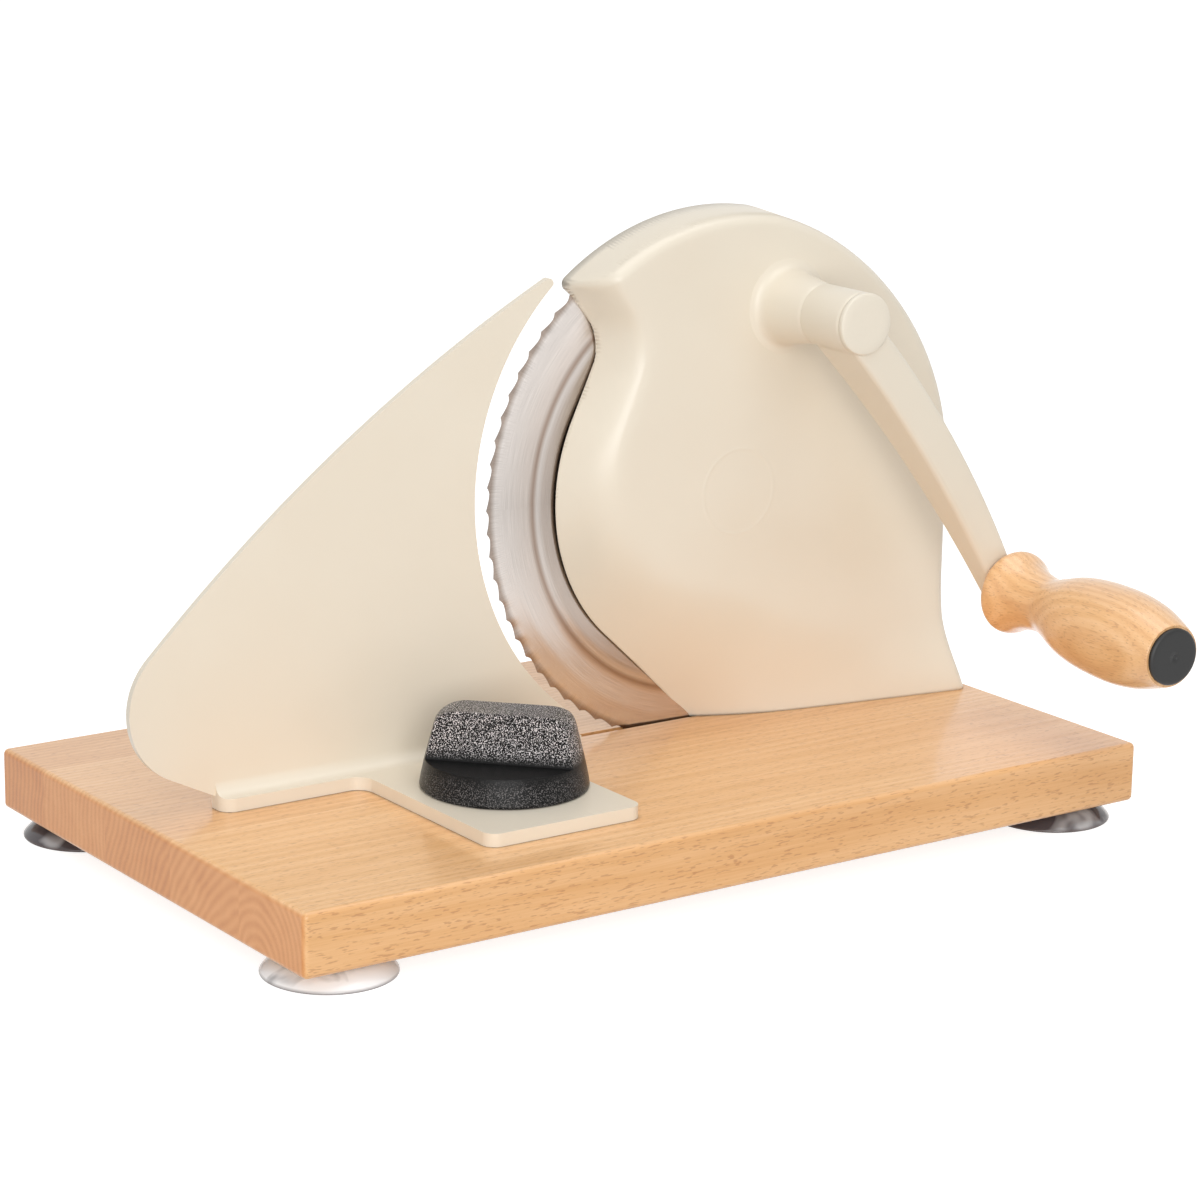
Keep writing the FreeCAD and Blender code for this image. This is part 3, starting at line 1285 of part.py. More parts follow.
outline(hexPlan, [("%.6f * dim.bolt_head_radius" % math.cos(math.radians(60 * i)),
                   "%.6f * dim.bolt_head_radius" % math.sin(math.radians(60 * i))) for i in range(6)])
pad(bolt, hexPlan, "dim.bolt_head_high")
stem = newSketch(bolt, "XY_Plane", "dim.bolt_head_high")
rounds(stem, [("0", "0")], "dim.bolt_radius")
pad(bolt, stem, "dim.bolt_long")

# ---- clamp knob: a tapered round base with a grip bar across it, and a brass insert
knobUnder = "(" + lugTop + " + dim.run_clearance)"
knob = newBody("clamp_knob", "dim.clamp_x", "dim.clamp_y", knobUnder)
knob.Placement.Rotation = FreeCAD.Rotation(Vec(0, 0, 1), number("dim.knob_bar_turn"))
boltTop = ("(" + grooveRoof + " - dim.clamp_washer_thick + dim.bolt_long - " + lugTop
           + " + dim.bolt_end_gap)")
knobTurned = turned(knob, [
    ("dim.insert_radius", "0"),
    ("dim.knob_radius", "0"),
    ("dim.knob_ledge_radius", "dim.knob_ledge_high"),
    ("dim.knob_top_radius", "dim.knob_high"),
    ("0", "dim.knob_high"),
    ("0", boltTop),
    ("dim.bolt_radius + dim.run_clearance", boltTop),
    ("dim.bolt_radius + dim.run_clearance", "dim.insert_long"),
    ("dim.insert_radius", "dim.insert_long"),
])
topRing = number("dim.knob_high")
insertRing = 2 * math.pi * number("dim.insert_radius")
roundOver(knob, knobTurned, "dim.knob_round",
          lambda edge: len(edge.Vertexes) == 1 and abs(edge.Vertexes[0].Point.z - topRing) < 0.01
          and edge.Length > insertRing)
knobPast = "(dim.knob_radius + 2)"
for way in ("", "-"):
    # the bar's sides lean in towards its top, and the corners keep one order on either side
    side = newSketch(knob, "YZ_Plane", "-" + knobPast)
    outline(side, [
        (way + "dim.knob_bar_half", "dim.knob_ledge_high"),
        (way + knobPast, "dim.knob_ledge_high"),
        (way + knobPast, "dim.knob_high + 2"),
        (way + "(dim.knob_bar_half_top)", "dim.knob_high + 2"),
    ])
    cut(knob, side, "2 * " + knobPast, away=True)
insert = newBody("knob_insert", "dim.clamp_x", "dim.clamp_y", knobUnder)
turned(insert, [
    ("dim.bolt_radius + dim.run_clearance", "0"),
    ("dim.insert_radius", "0"),
    ("dim.insert_radius", "dim.insert_long"),
    ("dim.bolt_radius + dim.run_clearance", "dim.insert_long"),
])

# ---- check every object and every piece, then write the pieces
doc.recompute()
for item in doc.Objects:
    if "Invalid" in item.State or "Error" in item.State:
        raise RuntimeError("%s is not built: %s" % (item.Label, item.State))
for node in nodes:
    if node.Shape.isNull() or not node.Shape.isValid() or not node.Shape.Solids:
        raise RuntimeError("%s has no valid solid" % node.Label)
for node in nodes:
    node.Shape.exportStep("parts/%s.step" % node.Label)
    print("%-18s solids %d  volume %.1f" % (node.Label, len(node.Shape.Solids), node.Shape.Volume))
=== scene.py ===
import math
from functools import partial

import bmesh
import bpy
import numpy as np
from mathutils import Matrix, Vector
from mathutils.geometry import delaunay_2d_cdt


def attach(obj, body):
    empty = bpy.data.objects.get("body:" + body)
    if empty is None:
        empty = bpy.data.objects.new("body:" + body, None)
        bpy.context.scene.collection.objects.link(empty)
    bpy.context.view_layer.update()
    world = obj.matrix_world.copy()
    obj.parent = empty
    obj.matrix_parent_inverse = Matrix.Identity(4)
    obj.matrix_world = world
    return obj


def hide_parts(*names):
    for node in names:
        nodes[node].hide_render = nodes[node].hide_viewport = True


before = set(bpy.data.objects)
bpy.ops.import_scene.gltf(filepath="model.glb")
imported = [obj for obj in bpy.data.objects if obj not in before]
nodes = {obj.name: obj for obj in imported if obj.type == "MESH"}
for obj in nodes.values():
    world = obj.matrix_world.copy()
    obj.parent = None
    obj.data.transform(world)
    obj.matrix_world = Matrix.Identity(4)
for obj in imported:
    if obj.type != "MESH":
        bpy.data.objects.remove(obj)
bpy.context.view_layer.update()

scene = bpy.context.scene

# Sizes here are in millimetres, counted from the middle of the board's top. boardTop is where that lies
# in the frame, and mm turns them to metres.
mm = 0.001
boardTop = Vector((0, 18.75, 29.5))


def fromBoard(x, y, z):
    return (Vector((x, y, z)) + boardTop) * mm


# meshes
def newObject(name, places, faces, merge=False):
    mesh = bpy.data.meshes.new(name)
    mesh.from_pydata(places, [], faces)
    bm = bmesh.new()
    bm.from_mesh(mesh)
    if merge:
        bmesh.ops.remove_doubles(bm, verts=bm.verts, dist=1e-6)
    bmesh.ops.recalc_face_normals(bm, faces=bm.faces)
    bm.to_mesh(mesh)
    bm.free()
    made = bpy.data.objects.new(name, mesh)
    scene.collection.objects.link(made)
    return made


def meshObject(name, points, faces, material, body, replaced=(), turn=None):
    # points are in millimetres; turn is a matrix for pieces that are drawn in a frame of their own
    places = [turn @ (Vector(p) * mm) if turn else fromBoard(*p) for p in points]
    made = newObject(name, places, faces, merge=True)
    made.data.validate()
    return dress(made, material, body, replaced)


def dress(made, material, body, replaced=()):
    made.data.materials.clear()
    made.data.materials.append(material)
    made.data.polygons.foreach_set("use_smooth", [True] * len(made.data.polygons))
    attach(made, body)
    if replaced:
        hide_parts(*replaced)
    return made


def loopStrip(first, second, count):
    # quads between two rings of points that start at these indices
    return [(first + i, first + (i + 1) % count, second + (i + 1) % count, second + i)
            for i in range(count)]


def turned(profile, segments=96):
    # (radius, height) pairs turned about Z; a pair with no radius closes the end
    points, faces, rings = [], [], []
    for radius, height in profile:
        rings.append((len(points), radius > 1e-6))
        if radius > 1e-6:
            points += [(radius * math.cos(2 * math.pi * i / segments),
                        radius * math.sin(2 * math.pi * i / segments), height) for i in range(segments)]
        else:
            points.append((0, 0, height))
    for (a, fullA), (b, fullB) in zip(rings, rings[1:]):
        if fullA and fullB:
            faces += loopStrip(a, b, segments)
        elif fullA:
            faces += [(a + i, a + (i + 1) % segments, b) for i in range(segments)]
        elif fullB:
            faces += [(b + i, b + (i + 1) % segments, a) for i in range(segments)]
    return points, faces


def smoothProfile(corners, steps):
    # (radius, height) pairs joined by a curve; a third value of 0 keeps a corner sharp
    result = []
    count = len(corners)
    for i in range(count - 1):
        p0 = corners[i - 1] if i and len(corners[i]) < 3 else corners[i]
        p1, p2 = corners[i], corners[i + 1]
        p3 = corners[i + 2] if i + 2 < count and len(corners[i + 1]) < 3 else corners[i + 1]
        for k in range(steps):
            u = k / steps
            result.append(tuple(0.5 * (2 * p1[c] + (p2[c] - p0[c]) * u
                                       + (2 * p0[c] - 5 * p1[c] + 4 * p2[c] - p3[c]) * u * u
                                       + (3 * p1[c] - p0[c] - 3 * p2[c] + p3[c]) * u ** 3)
                                for c in (0, 1)))
    result.append(tuple(corners[-1][:2]))
    return result


def fillFace(loop, spacing, extra=(), closest=0.0):
    # triangles over a closed outline: extra points no closer than given, and the rest at the spacing
    loop = np.array(loop)
    keep = {}
    places = [tuple(p) for p in loop]

    def cellOf(p):
        return int(p[0] // 1), int(p[1] // 1)

    def crowded(p, distance):
        reach = int(distance) + 1
        cellX, cellZ = cellOf(p)
        return any((p[0] - q[0]) ** 2 + (p[1] - q[1]) ** 2 < distance ** 2
                   for i in range(-reach, reach + 1) for j in range(-reach, reach + 1)
                   for q in keep.get((cellX + i, cellZ + j), ()))

    for p in places:
        keep.setdefault(cellOf(p), []).append(p)
    low, high = loop.min(axis=0), loop.max(axis=0)
    grid = []
    rows = int((high[1] - low[1]) / (spacing * 0.866)) + 2
    for j in range(rows):
        z = low[1] + j * spacing * 0.866
        for i in range(int((high[0] - low[0]) / spacing) + 2):
            grid.append((low[0] + (i + 0.5 * (j % 2)) * spacing, z))
    for p, distance in [(p, closest) for p in extra] + [(p, spacing * 0.6) for p in grid]:
        if not crowded(p, distance):
            keep.setdefault(cellOf(p), []).append(p)
            places.append(p)
    count = len(loop)
    edges = [(i, (i + 1) % count) for i in range(count)]
    result = delaunay_2d_cdt([Vector(p) for p in places], edges, [], 1, 1e-5)
    return [tuple(p) for p in result[0]], [tuple(f) for f in result[2]]


def roundedSlab(outline, front, back, radius, backRadius, spacing=3.0, steps=5):
    # solid between two sides that are given as functions of the place, its edges rounded over
    outline = np.array(outline, dtype=float)
    area = np.sum(outline[:, 0] * np.roll(outline[:, 1], -1) - np.roll(outline[:, 0], -1) * outline[:, 1])
    if area < 0:
        outline = outline[::-1]
    along = np.roll(outline, -1, axis=0) - np.roll(outline, 1, axis=0)
    along /= np.linalg.norm(along, axis=1)[:, None]
    inward = np.stack([-along[:, 1], along[:, 0]], axis=1)
    count = len(outline)
    points, faces, starts = [], [], []

    def addCap(ring, side):
        places, triangles = fillFace([(x, z) for x, _, z in ring], spacing)
        faces.extend(tuple(len(points) + k for k in f) for f in triangles)
        points.extend((x, side(x, z), z) for x, z in places)

    for side, sign, soft in ((front, 1, radius), (back, -1, backRadius)):
        order = range(steps + 1) if sign < 0 else range(steps, -1, -1)
        rings = []
        for j in order:
            angle = math.pi / 2 * j / steps
            ring = outline + inward * soft * (1 - math.cos(angle))
            rings.append([(x, side(x, z) + sign * soft * (1 - math.sin(angle)), z) for x, z in ring])
        if sign > 0:
            addCap(rings[0], side)
        for ring in rings:
            starts.append(len(points))
            points += ring
        if sign < 0:
            addCap(rings[-1], side)
    for a, b in zip(starts, starts[1:]):
        faces += loopStrip(a, b, count)
    return points, faces


def lineOf(first, last, step):
    # points on a straight line, about step apart
    count = max(2, int(math.dist(first, last) / step) + 1)
    return [tuple(p) for p in np.linspace(first, last, count)]


def arcPoints(centre, radius, first, last, step):
    # points on an arc, given in degrees, about step apart
    count = max(2, int(abs(math.radians(last - first)) * radius / step) + 1)
    angles = np.radians(np.linspace(first, last, count))
    return [(centre[0] + radius * math.cos(a), centre[1] + radius * math.sin(a)) for a in angles]


def curveBetween(first, last, radius, turn, step):
    # points on the shorter arc between two places; turn is 1 to the left and -1 to the right
    first, last = np.array(first, float), np.array(last, float)
    half = np.linalg.norm(last - first) / 2
    left = np.array([first[1] - last[1], last[0] - first[0]]) / (2 * half)
    centre = (first + last) / 2 + left * turn * math.sqrt(max(radius ** 2 - half ** 2, 0))
    a = math.degrees(math.atan2(*(first - centre)[::-1]))
    b = math.degrees(math.atan2(*(last - centre)[::-1]))
    if turn > 0 and b < a:
        b += 360
    if turn < 0 and b > a:
        b -= 360
    return arcPoints(centre, radius, a, b, step)


def prism(outline, place, low, high):
    # block over an outline; place turns a point of the outline and a height to X, Y, Z
    count = len(outline)
    points = [place(u, v, h) for h in (low, high) for u, v in outline]
    faces = [tuple(range(count)), tuple(range(count, 2 * count))[::-1]] + loopStrip(0, count, count)
    return newObject("block", [fromBoard(*p) for p in points], faces)


def combine(base, tools, operation):
    # one solid out of several; the blocks that went into it are removed
    for tool in tools:
        change = base.modifiers.new("combine", "BOOLEAN")
        change.operation = operation
        change.solver = "EXACT"
        change.object = tool
    settle(base)
    for tool in tools:
        bpy.data.objects.remove(tool)
    return base


def settle(made):
    # the modifiers become the mesh
    graph = bpy.context.evaluated_depsgraph_get()
    mesh = bpy.data.meshes.new_from_object(made.evaluated_get(graph))
    made.modifiers.clear()
    made.data = mesh
    return made


def soften(made, width, angle):
    # edges sharper than the angle are rounded over
    bevel = made.modifiers.new("soften", "BEVEL")
    bevel.width = width * mm
    bevel.segments = 4
    bevel.limit_method = "ANGLE"
    bevel.angle_limit = math.radians(angle)
    bevel.miter_outer = "MITER_ARC"
    bevel.harden_normals = False
    settle(made)
    made.data.polygons.foreach_set("use_smooth", [True] * len(made.data.polygons))
    weigh = made.modifiers.new("even shading", "WEIGHTED_NORMAL")
    weigh.keep_sharp = False
    return settle(made)


# materials
def linear(code):
    # sRGB hex colour to linear
    parts = [int(code[i:i + 2], 16) / 255 for i in (1, 3, 5)]
    return tuple(c / 12.92 if c <= 0.04045 else ((c + 0.055) / 1.055) ** 2.4 for c in parts) + (1,)


def setInputs(node, inputs):
    # each input gets a value, a socket, or the first output of a node
    for name, value in inputs.items():
        if isinstance(value, bpy.types.Node):
            value = value.outputs[0]
        if isinstance(value, bpy.types.NodeSocket):
            node.id_data.links.new(value, node.inputs[name])
        else:
            node.inputs[name].default_value = value


def addNode(tree, kind, inputs=None, stops=(), **settings):
    # stops are the places and colours of a ramp
    node = tree.nodes.new("ShaderNode" + kind)
    for name, value in settings.items():
        setattr(node, name, value)
    setInputs(node, inputs or {})
    if stops:
        elements = node.color_ramp.elements
        while len(elements) < len(stops):
            elements.new(0.5)
        for element, (place, colour) in zip(elements, stops):
            element.position = place
            element.color = colour
    return node


def newTree(owner):
    # empties a node tree and returns addNode for it
    owner.use_nodes = True
    owner.node_tree.nodes.clear()
    return partial(addNode, owner.node_tree)


def newMaterial(name):
    material = bpy.data.materials.new(name)
    add = newTree(material)
    shader = add("BsdfPrincipled")
    add("OutputMaterial", {"Surface": shader})
    return material, add, shader


def finishSurface(add, shader, colour, pattern, gloss, bump, inputs):
    # roughness runs between two values with a pattern, which also makes bumps of a strength and depth
    rough = add("MapRange", {"Value": pattern, "To Min": gloss[0], "To Max": gloss[1]})
    raised = add("Bump", {"Height": pattern, "Strength": bump[0], "Distance": bump[1] * mm})
    setInputs(shader, {"Base Color": colour, "Roughness": rough, "Normal": raised, **inputs})


black, white = (0, 0, 0, 1), (1, 1, 1, 1)
beechLook = {
    "pale": "#F8C994",
    "tan": "#EAB478",
    "dark": "#CE8E55",
    "fleck": "#A05C30",
    "lighter": "#F6DDBE",
    "endTint": (0.88, 0.66, 0.47, 1),
    "sawnTint": (0.9, 0.87, 0.84, 1),
    "ringMm": 2.7,
    "fleckLongMm": 3.4,
    "fleckWideMm": 0.26,
    "staveMm": 46.0,
    "contactShadeMm": 3.0,
}


def beech(name, turn, staves, roughness, pale):
    # Oiled and varnished beech: warm tan with faint rings, short dark rays and a satin sheen. A glued
    # board has staves that differ, sawn sides, and end grain that drank more of the varnish.
    look = beechLook
    material, add, shader = newMaterial(name)
    place = add("TexCoord")
    source = add("Mapping", {"Vector": place.outputs["Object"], "Rotation": turn,
                             "Scale": (1000, 1000, 1000)})
    ringShow, lift, fleckShow, coat = 0.1, 0.03, 0.36, 0.7
    if staves:
        facing = add("VectorMath", {0: place.outputs["Normal"]}, operation="ABSOLUTE")
        facing = add("SeparateXYZ", {0: facing})
        endGrain = add("MapRange", {"Value": facing.outputs["X"], "From Min": 0.6, "From Max": 0.95})
        parts = add("SeparateXYZ", {0: source})
        row = add("Math", {0: parts.outputs["Y"], 1: look["staveMm"]}, operation="DIVIDE")
        row = add("Math", {0: row}, operation="FLOOR")
        chance = add("TexWhiteNoise", {"W": row}, noise_dimensions="1D")
        moved = add("VectorMath", {0: chance.outputs["Color"], 1: (900, 190, 60)}, operation="MULTIPLY")
        source = add("VectorMath", {0: source, 1: moved}, operation="ADD")
        lift = add("Math", {0: chance, 1: 0.22, 2: -0.08}, operation="MULTIPLY_ADD")
        ringShow = add("MapRange", {"Value": endGrain, "To Min": 0.07, "To Max": 0.12})
        fleckShow = add("MapRange", {"Value": endGrain, "To Min": 0.36, "To Max": 0.0})
        coat = add("MapRange", {"Value": facing.outputs["Z"], "To Min": 0.1, "To Max": 0.6})
    # noise drawn out along the grain: the bend of the rings, fine fibres, broad streaks, and short dark
    # rays, which are a little wider than real so that they show
    rayScale = (1 / look["fleckLongMm"],) + (0.5 / look["fleckWideMm"],) * 2
    patterns = []
    for scale, detail, rough in (((0.006, 0.045, 0.06), 1, 0.4), ((0.035, 2.2, 2.2), 5, 0.62),
                                 ((0.008, 0.11, 0.11), 2, 0.5), (rayScale, 1, 0.4)):
        drawn = add("Mapping", {"Vector": source, "Scale": scale})
        patterns.append(add("TexNoise", {"Vector": drawn, "Scale": 1.0, "Detail": detail,
                                         "Roughness": rough}))
    warp, fibre, broad, rays = patterns
    # growth rings: waves round the stem, bent by the slow noise
    rings = add("Mapping", {"Vector": source, "Scale": (0.0015, 0.95, 0.6)})
    rings = add("VectorMath", {0: rings}, operation="LENGTH")
    rings = add("Math", {0: warp, 1: 5.0, 2: rings.outputs["Value"]}, operation="MULTIPLY_ADD")
    rings = add("Math", {0: rings, 1: 2 * math.pi / look["ringMm"]}, operation="MULTIPLY")
    rings = add("Math", {0: rings}, operation="SINE")
    tone = add("Math", {0: rings, 1: ringShow, 2: lift}, operation="MULTIPLY_ADD")
    tone = add("Math", {0: fibre, 1: 0.55, 2: tone}, operation="MULTIPLY_ADD")
    tone = add("Math", {0: broad, 1: 0.4, 2: tone}, operation="MULTIPLY_ADD")
    colour = add("ValToRGB", {0: tone}, [
        (0.2, linear(look["pale"])), (0.52, linear(look["tan"])), (0.9, linear(look["dark"]))])
    fleck = add("ValToRGB", {0: rays}, [(0.6, black), (0.68, white)])
    share = add("Math", {0: fleck, 1: fleckShow}, operation="MULTIPLY")
    mixed = add("Mix", {0: share, 6: colour, 7: linear(look["fleck"])}, data_type="RGBA")
    mixed = add("Mix", {0: pale, 6: mixed.outputs[2], 7: linear(look["lighter"])}, data_type="RGBA")
    base = mixed.outputs[2]
    if staves:
        for amount, tint in ((endGrain, look["endTint"]), (facing.outputs["Y"], look["sawnTint"])):
            base = add("Mix", {0: amount, 6: base, 7: tint}, data_type="RGBA",
                       blend_type="MULTIPLY").outputs[2]
        # painted shade: the wood is darkened where other pieces stand close over it, as much as they hide
        # it (ambient occlusion)
        near = add("AmbientOcclusion", {"Distance": look["contactShadeMm"] * mm}, samples=8)
        contactShade = add("MapRange", {"Value": near.outputs["AO"], "From Min": 0.35, "From Max": 0.8,
                                 "To Min": 0.3})
        base = add("VectorMath", {0: base, 1: contactShade}, operation="MULTIPLY")
    gloss = add("MapRange", {"Value": fibre, "To Min": roughness - 0.05, "To Max": roughness + 0.1})
    depth = add("Math", {0: fleck, 1: -0.5, 2: fibre}, operation="MULTIPLY_ADD")
    bump = add("Bump", {"Height": depth, "Strength": 0.12, "Distance": 0.2 * mm})
    setInputs(shader, {"Base Color": base, "Roughness": gloss, "Normal": bump, "IOR": 1.5,
                       "Coat Weight": coat, "Coat Roughness": 0.16})
    return material


def enamel(name, colour, shade, peelMm):
    # Stove enamel on metal: even cream, a soft gloss and the faint orange peel of sprayed paint.
    material, add, shader = newMaterial(name)
    place = add("TexCoord").outputs["Object"]
    cloud = add("TexNoise", {"Vector": place, "Scale": 22, "Detail": 2})
    tint = add("ValToRGB", {0: cloud}, [(0.3, linear(shade)), (0.7, linear(colour))])
    peel = add("TexNoise", {"Vector": place, "Scale": 1000 / peelMm, "Detail": 2, "Roughness": 0.45})
    bump = add("Bump", {"Height": peel, "Strength": 0.25, "Distance": 0.06 * mm})
    gloss = add("MapRange", {"Value": cloud, "To Min": 0.26, "To Max": 0.38})
    setInputs(shader, {"Base Color": tint, "Roughness": gloss, "Normal": bump, "IOR": 1.5})
    return material


def metal(name, colour, roughness, grainMm=0.8):
    # Plain machined or plated metal: fine uneven grain that breaks up the highlight.
    material, add, shader = newMaterial(name)
    place = add("TexCoord").outputs["Object"]
    grain = add("TexNoise", {"Vector": place, "Scale": 1000 / grainMm, "Detail": 3})
    tint = add("ValToRGB", {0: grain}, [
        (0.3, tuple(0.82 * c for c in linear(colour)[:3]) + (1,)), (0.7, linear(colour))])
    finishSurface(add, shader, tint, grain, (roughness * 0.8, roughness * 1.3), (0.3, 0.02),
                  {"Metallic": 1})
    return material


def moulded(name, colour, roughness, grainMm, depthMm, sparkle, paintedGlint=None):
    # Moulded plastic: one colour, with the texture of the mould as fine bumps. Where glint is given, a
    # light colour painted on the tips of a coarse texture stands in for glints (painted highlights); a
    # band is bare of them and few are below it, where the knob lies in shade.
    material, add, shader = newMaterial(name)
    place = add("TexCoord").outputs["Object"]
    grain = add("TexNoise", {"Vector": place, "Scale": 1000 / grainMm, "Detail": 2, "Roughness": 0.5})
    base = linear(colour)
    tint = add("ValToRGB", {0: grain}, [
        (0.35, base), (0.75, tuple(min(1, c + sparkle) for c in base[:3]) + (1,))]).outputs[0]
    if paintedGlint:
        height = add("SeparateXYZ", {0: place}).outputs["Z"]
        paintedGlintTips = add("ValToRGB", {0: grain}, [(paintedGlint["from"], black), (paintedGlint["from"] + 0.045, white)])
        off = add("Math", {0: height, 1: paintedGlint["bare"] * mm}, operation="SUBTRACT")
        off = add("Math", {0: off}, operation="ABSOLUTE")
        band = add("MapRange", {"Value": off, "From Min": 0.3 * mm, "From Max": paintedGlint["fade"] * mm})
        below = add("MapRange", {"Value": height, "From Min": (paintedGlint["bare"] - 1) * mm,
                                 "From Max": (paintedGlint["bare"] + 1) * mm, "To Min": paintedGlint["below"]})
        amount = add("Math", {0: paintedGlintTips, 1: band}, operation="MULTIPLY")
        amount = add("Math", {0: amount, 1: below}, operation="MULTIPLY")
        tint = add("Mix", {0: amount, 6: tint, 7: linear(paintedGlint["colour"])}, data_type="RGBA").outputs[2]
        setInputs(shader, {"Specular IOR Level": paintedGlint["specular"]})
    finishSurface(add, shader, tint, grain, (roughness, roughness + 0.12), (0.8, depthMm), {"IOR": 1.5})
    return material


def smokyShadedRubber(name, smokeAndShade):
    # Clear soft rubber: glossy, milky white with grey smoke in it. How much grey a foot gets is painted
    # shade: the feet that stand in the board's shadow get more of it.
    material, add, shader = newMaterial(name)
    place = add("TexCoord").outputs["Object"]
    cloud = add("TexNoise", {"Vector": place, "Scale": 55, "Detail": 2.5, "Distortion": 0.7})
    tint = add("ValToRGB", {0: cloud}, [
        (0.1 + 0.4 * smokeAndShade, linear("#4E474A")), (0.32 + 0.5 * smokeAndShade, linear("#FBFAFA"))])
    # the thin rim is darker
    height = add("SeparateXYZ", {0: place}).outputs["Z"]
    rim = add("MapRange", {"Value": height, "From Min": 0.4 * mm, "From Max": 1.4 * mm,
                           "To Min": 0.75, "To Max": 0.0})
    mixed = add("Mix", {0: rim, 6: tint, 7: linear("#5A4A46")}, data_type="RGBA")
    finishSurface(add, shader, mixed.outputs[2], cloud, (0.08, 0.2), (0.3, 0.1), {"IOR": 1.5})
    return material


def groundSteel(name, centre, edgeMm):
    # Ground stainless steel: rings of fine scratches round the axle, and short ones across the edge.
    material, add, shader = newMaterial(name)
    place = add("TexCoord").outputs["Object"]
    about = add("VectorMath", {0: place, 1: tuple(centre)}, operation="SUBTRACT")
    parts = add("SeparateXYZ", {0: about}).outputs
    flat = add("CombineXYZ", {0: parts["X"], 1: parts["Z"]})
    radius = add("VectorMath", {0: flat}, operation="LENGTH").outputs["Value"]
    radiusMm = add("Math", {0: radius, 1: 1000.0}, operation="MULTIPLY")
    angle = add("Math", {0: parts["Z"], 1: parts["X"]}, operation="ARCTAN2")
    turn = add("CombineXYZ", {0: radiusMm, 1: angle})
    ringFrom = add("Mapping", {"Vector": turn, "Scale": (7.0, 5.0, 1)})
    rings = add("TexNoise", {"Vector": ringFrom, "Scale": 1.0, "Detail": 4, "Roughness": 0.6})
    acrossFrom = add("Mapping", {"Vector": turn, "Scale": (0.12, 260, 1)})
    across = add("TexNoise", {"Vector": acrossFrom, "Scale": 1.0, "Detail": 3, "Roughness": 0.6})
    nearEdge = add("MapRange", {"Value": radiusMm, "From Min": edgeMm - 7, "From Max": edgeMm - 4})
    streak = add("Mix", {0: nearEdge, 2: rings, 3: across}, data_type="FLOAT")
    # painted reflection and shade by radius: the dished middle darker, a brown line of painted shade in
    # the step, a bright band outside it, and a thin dark line just inside the edge
    share = add("Math", {0: radiusMm, 1: edgeMm}, operation="DIVIDE")
    paintedReflectionZones = add("ValToRGB", {0: share}, [(at, linear(code)) for at, code in (
        (0.55, "#AFA399"), (0.765, "#BDB1A8"), (0.788, "#D3CBC5"), (0.806, "#A08C7E"),
        (0.826, "#CFC4BC"), (0.9, "#D6CEC8"), (0.965, "#DDD6D1"), (0.985, "#A89A90"))])
    scratch = add("ValToRGB", {0: streak}, [(0.34, (0.8, 0.79, 0.78, 1)), (0.64, white)])
    tint = add("Mix", {0: 1.0, 6: paintedReflectionZones, 7: scratch}, data_type="RGBA", blend_type="MULTIPLY")
    # painted reflection: the steel is lighter above and below the axle's level and darker level with it
    away = add("Math", {0: parts["Z"]}, operation="ABSOLUTE")
    lighter = add("MapRange", {"Value": away, "From Max": 75 * mm, "To Min": 0.76, "To Max": 1.1})
    tint = add("VectorMath", {0: tint.outputs[2], 1: lighter}, operation="MULTIPLY")
    tangent = add("Tangent", direction_type="RADIAL", axis="Y")
    finishSurface(add, shader, tint, streak, (0.14, 0.3), (0.25, 0.03),
                  {"Tangent": tangent, "Anisotropic": 0.3, "Metallic": 1})
    return material


# the axes of the blade, the crank and the grip, as X and Z
axle = (63.5, 88.3)
gears = {"apart": 69.0, "lean": 16.9}
grip = {"yaw": -4.0, "roll": 2.0, "throw": 132.8, "angle": 54.05, "base": -50.0}
crankLean, gripAngle = math.radians(gears["lean"]), math.radians(grip["angle"])
crankAt = (axle[0] + gears["apart"] * math.sin(crankLean),
           axle[1] + gears["apart"] * math.cos(crankLean))
pinAt = (crankAt[0] + grip["throw"] * math.cos(gripAngle),
         crankAt[1] - grip["throw"] * math.sin(gripAngle))

print("materials")
cream = "#E8DFCE"
boardBeech = beech("board_varnished_beech", (0, 0, 0), True, 0.34, 0.0)
gripBeech = beech("grip_varnished_beech", (0, 0, math.radians(90)), False, 0.3, 0.1)
creamEnamel = enamel("cream_stove_enamel", cream, "#E6DCCA", 1.6)
creamAbs = moulded("cream_moulded_abs", cream, 0.3, 1.4, 0.02, 0.01)
bladeSteel = groundSteel("ground_stainless_steel", fromBoard(axle[0], 9, axle[1]), 96.3)
# the knob's light specks are painted highlights: glints on the bar, none round the ledge, few on the skirt
blackAbs = moulded("black_grained_abs_painted_glints", "#0B0B0B", 0.26, 0.4, 0.06, 0.01,
                   {"colour": "#E4DEDE", "from": 0.55, "bare": 44.25, "fade": 4, "below": 0.16,
                    "specular": 0.14})
plugBlack = moulded("black_smooth_plug", "#141414", 0.42, 0.5, 0.01, 0.004)
# dark metal that paints the shadow along the housing's cut edge
paintedShadowEdge = metal("painted_shadow_edge_metal", "#3A3633", 0.6, 1.2)
zinc = metal("bright_zinc_plate", "#BFC2C4", 0.3)
sheetSteel = metal("galvanised_sheet", "#A9ACAE", 0.42, 2.5)
bronze = metal("turned_bearing_bronze", "#C79A5B", 0.32)
gearNylon = moulded("natural_nylon", "#E2DDCB", 0.45, 0.9, 0.02, 0.02)

carried = (
    (boardBeech, "base_board"),
    (creamEnamel, "back_panel"),
    (sheetSteel, "gear_cover"),
    (plugBlack, "guide_shoe"),
    (gearNylon, "blade_gear crank_gear"),
    (bronze, "crank_bush knob_insert grip_bush"),
    (zinc, "foot_screws foot_washers cover_screws panel_screws housing_screws housing_washers"),
    (zinc, "blade_axle axle_washer axle_screw clamp_washer clamp_bolt blade_rivets crank_shaft"),
    (zinc, "shaft_clip thrust_washer crank_screw grip_pin"),
)
for material, names in carried:
    for name in names.split():
        nodes[name].data.materials.clear()
        nodes[name].data.materials.append(material)

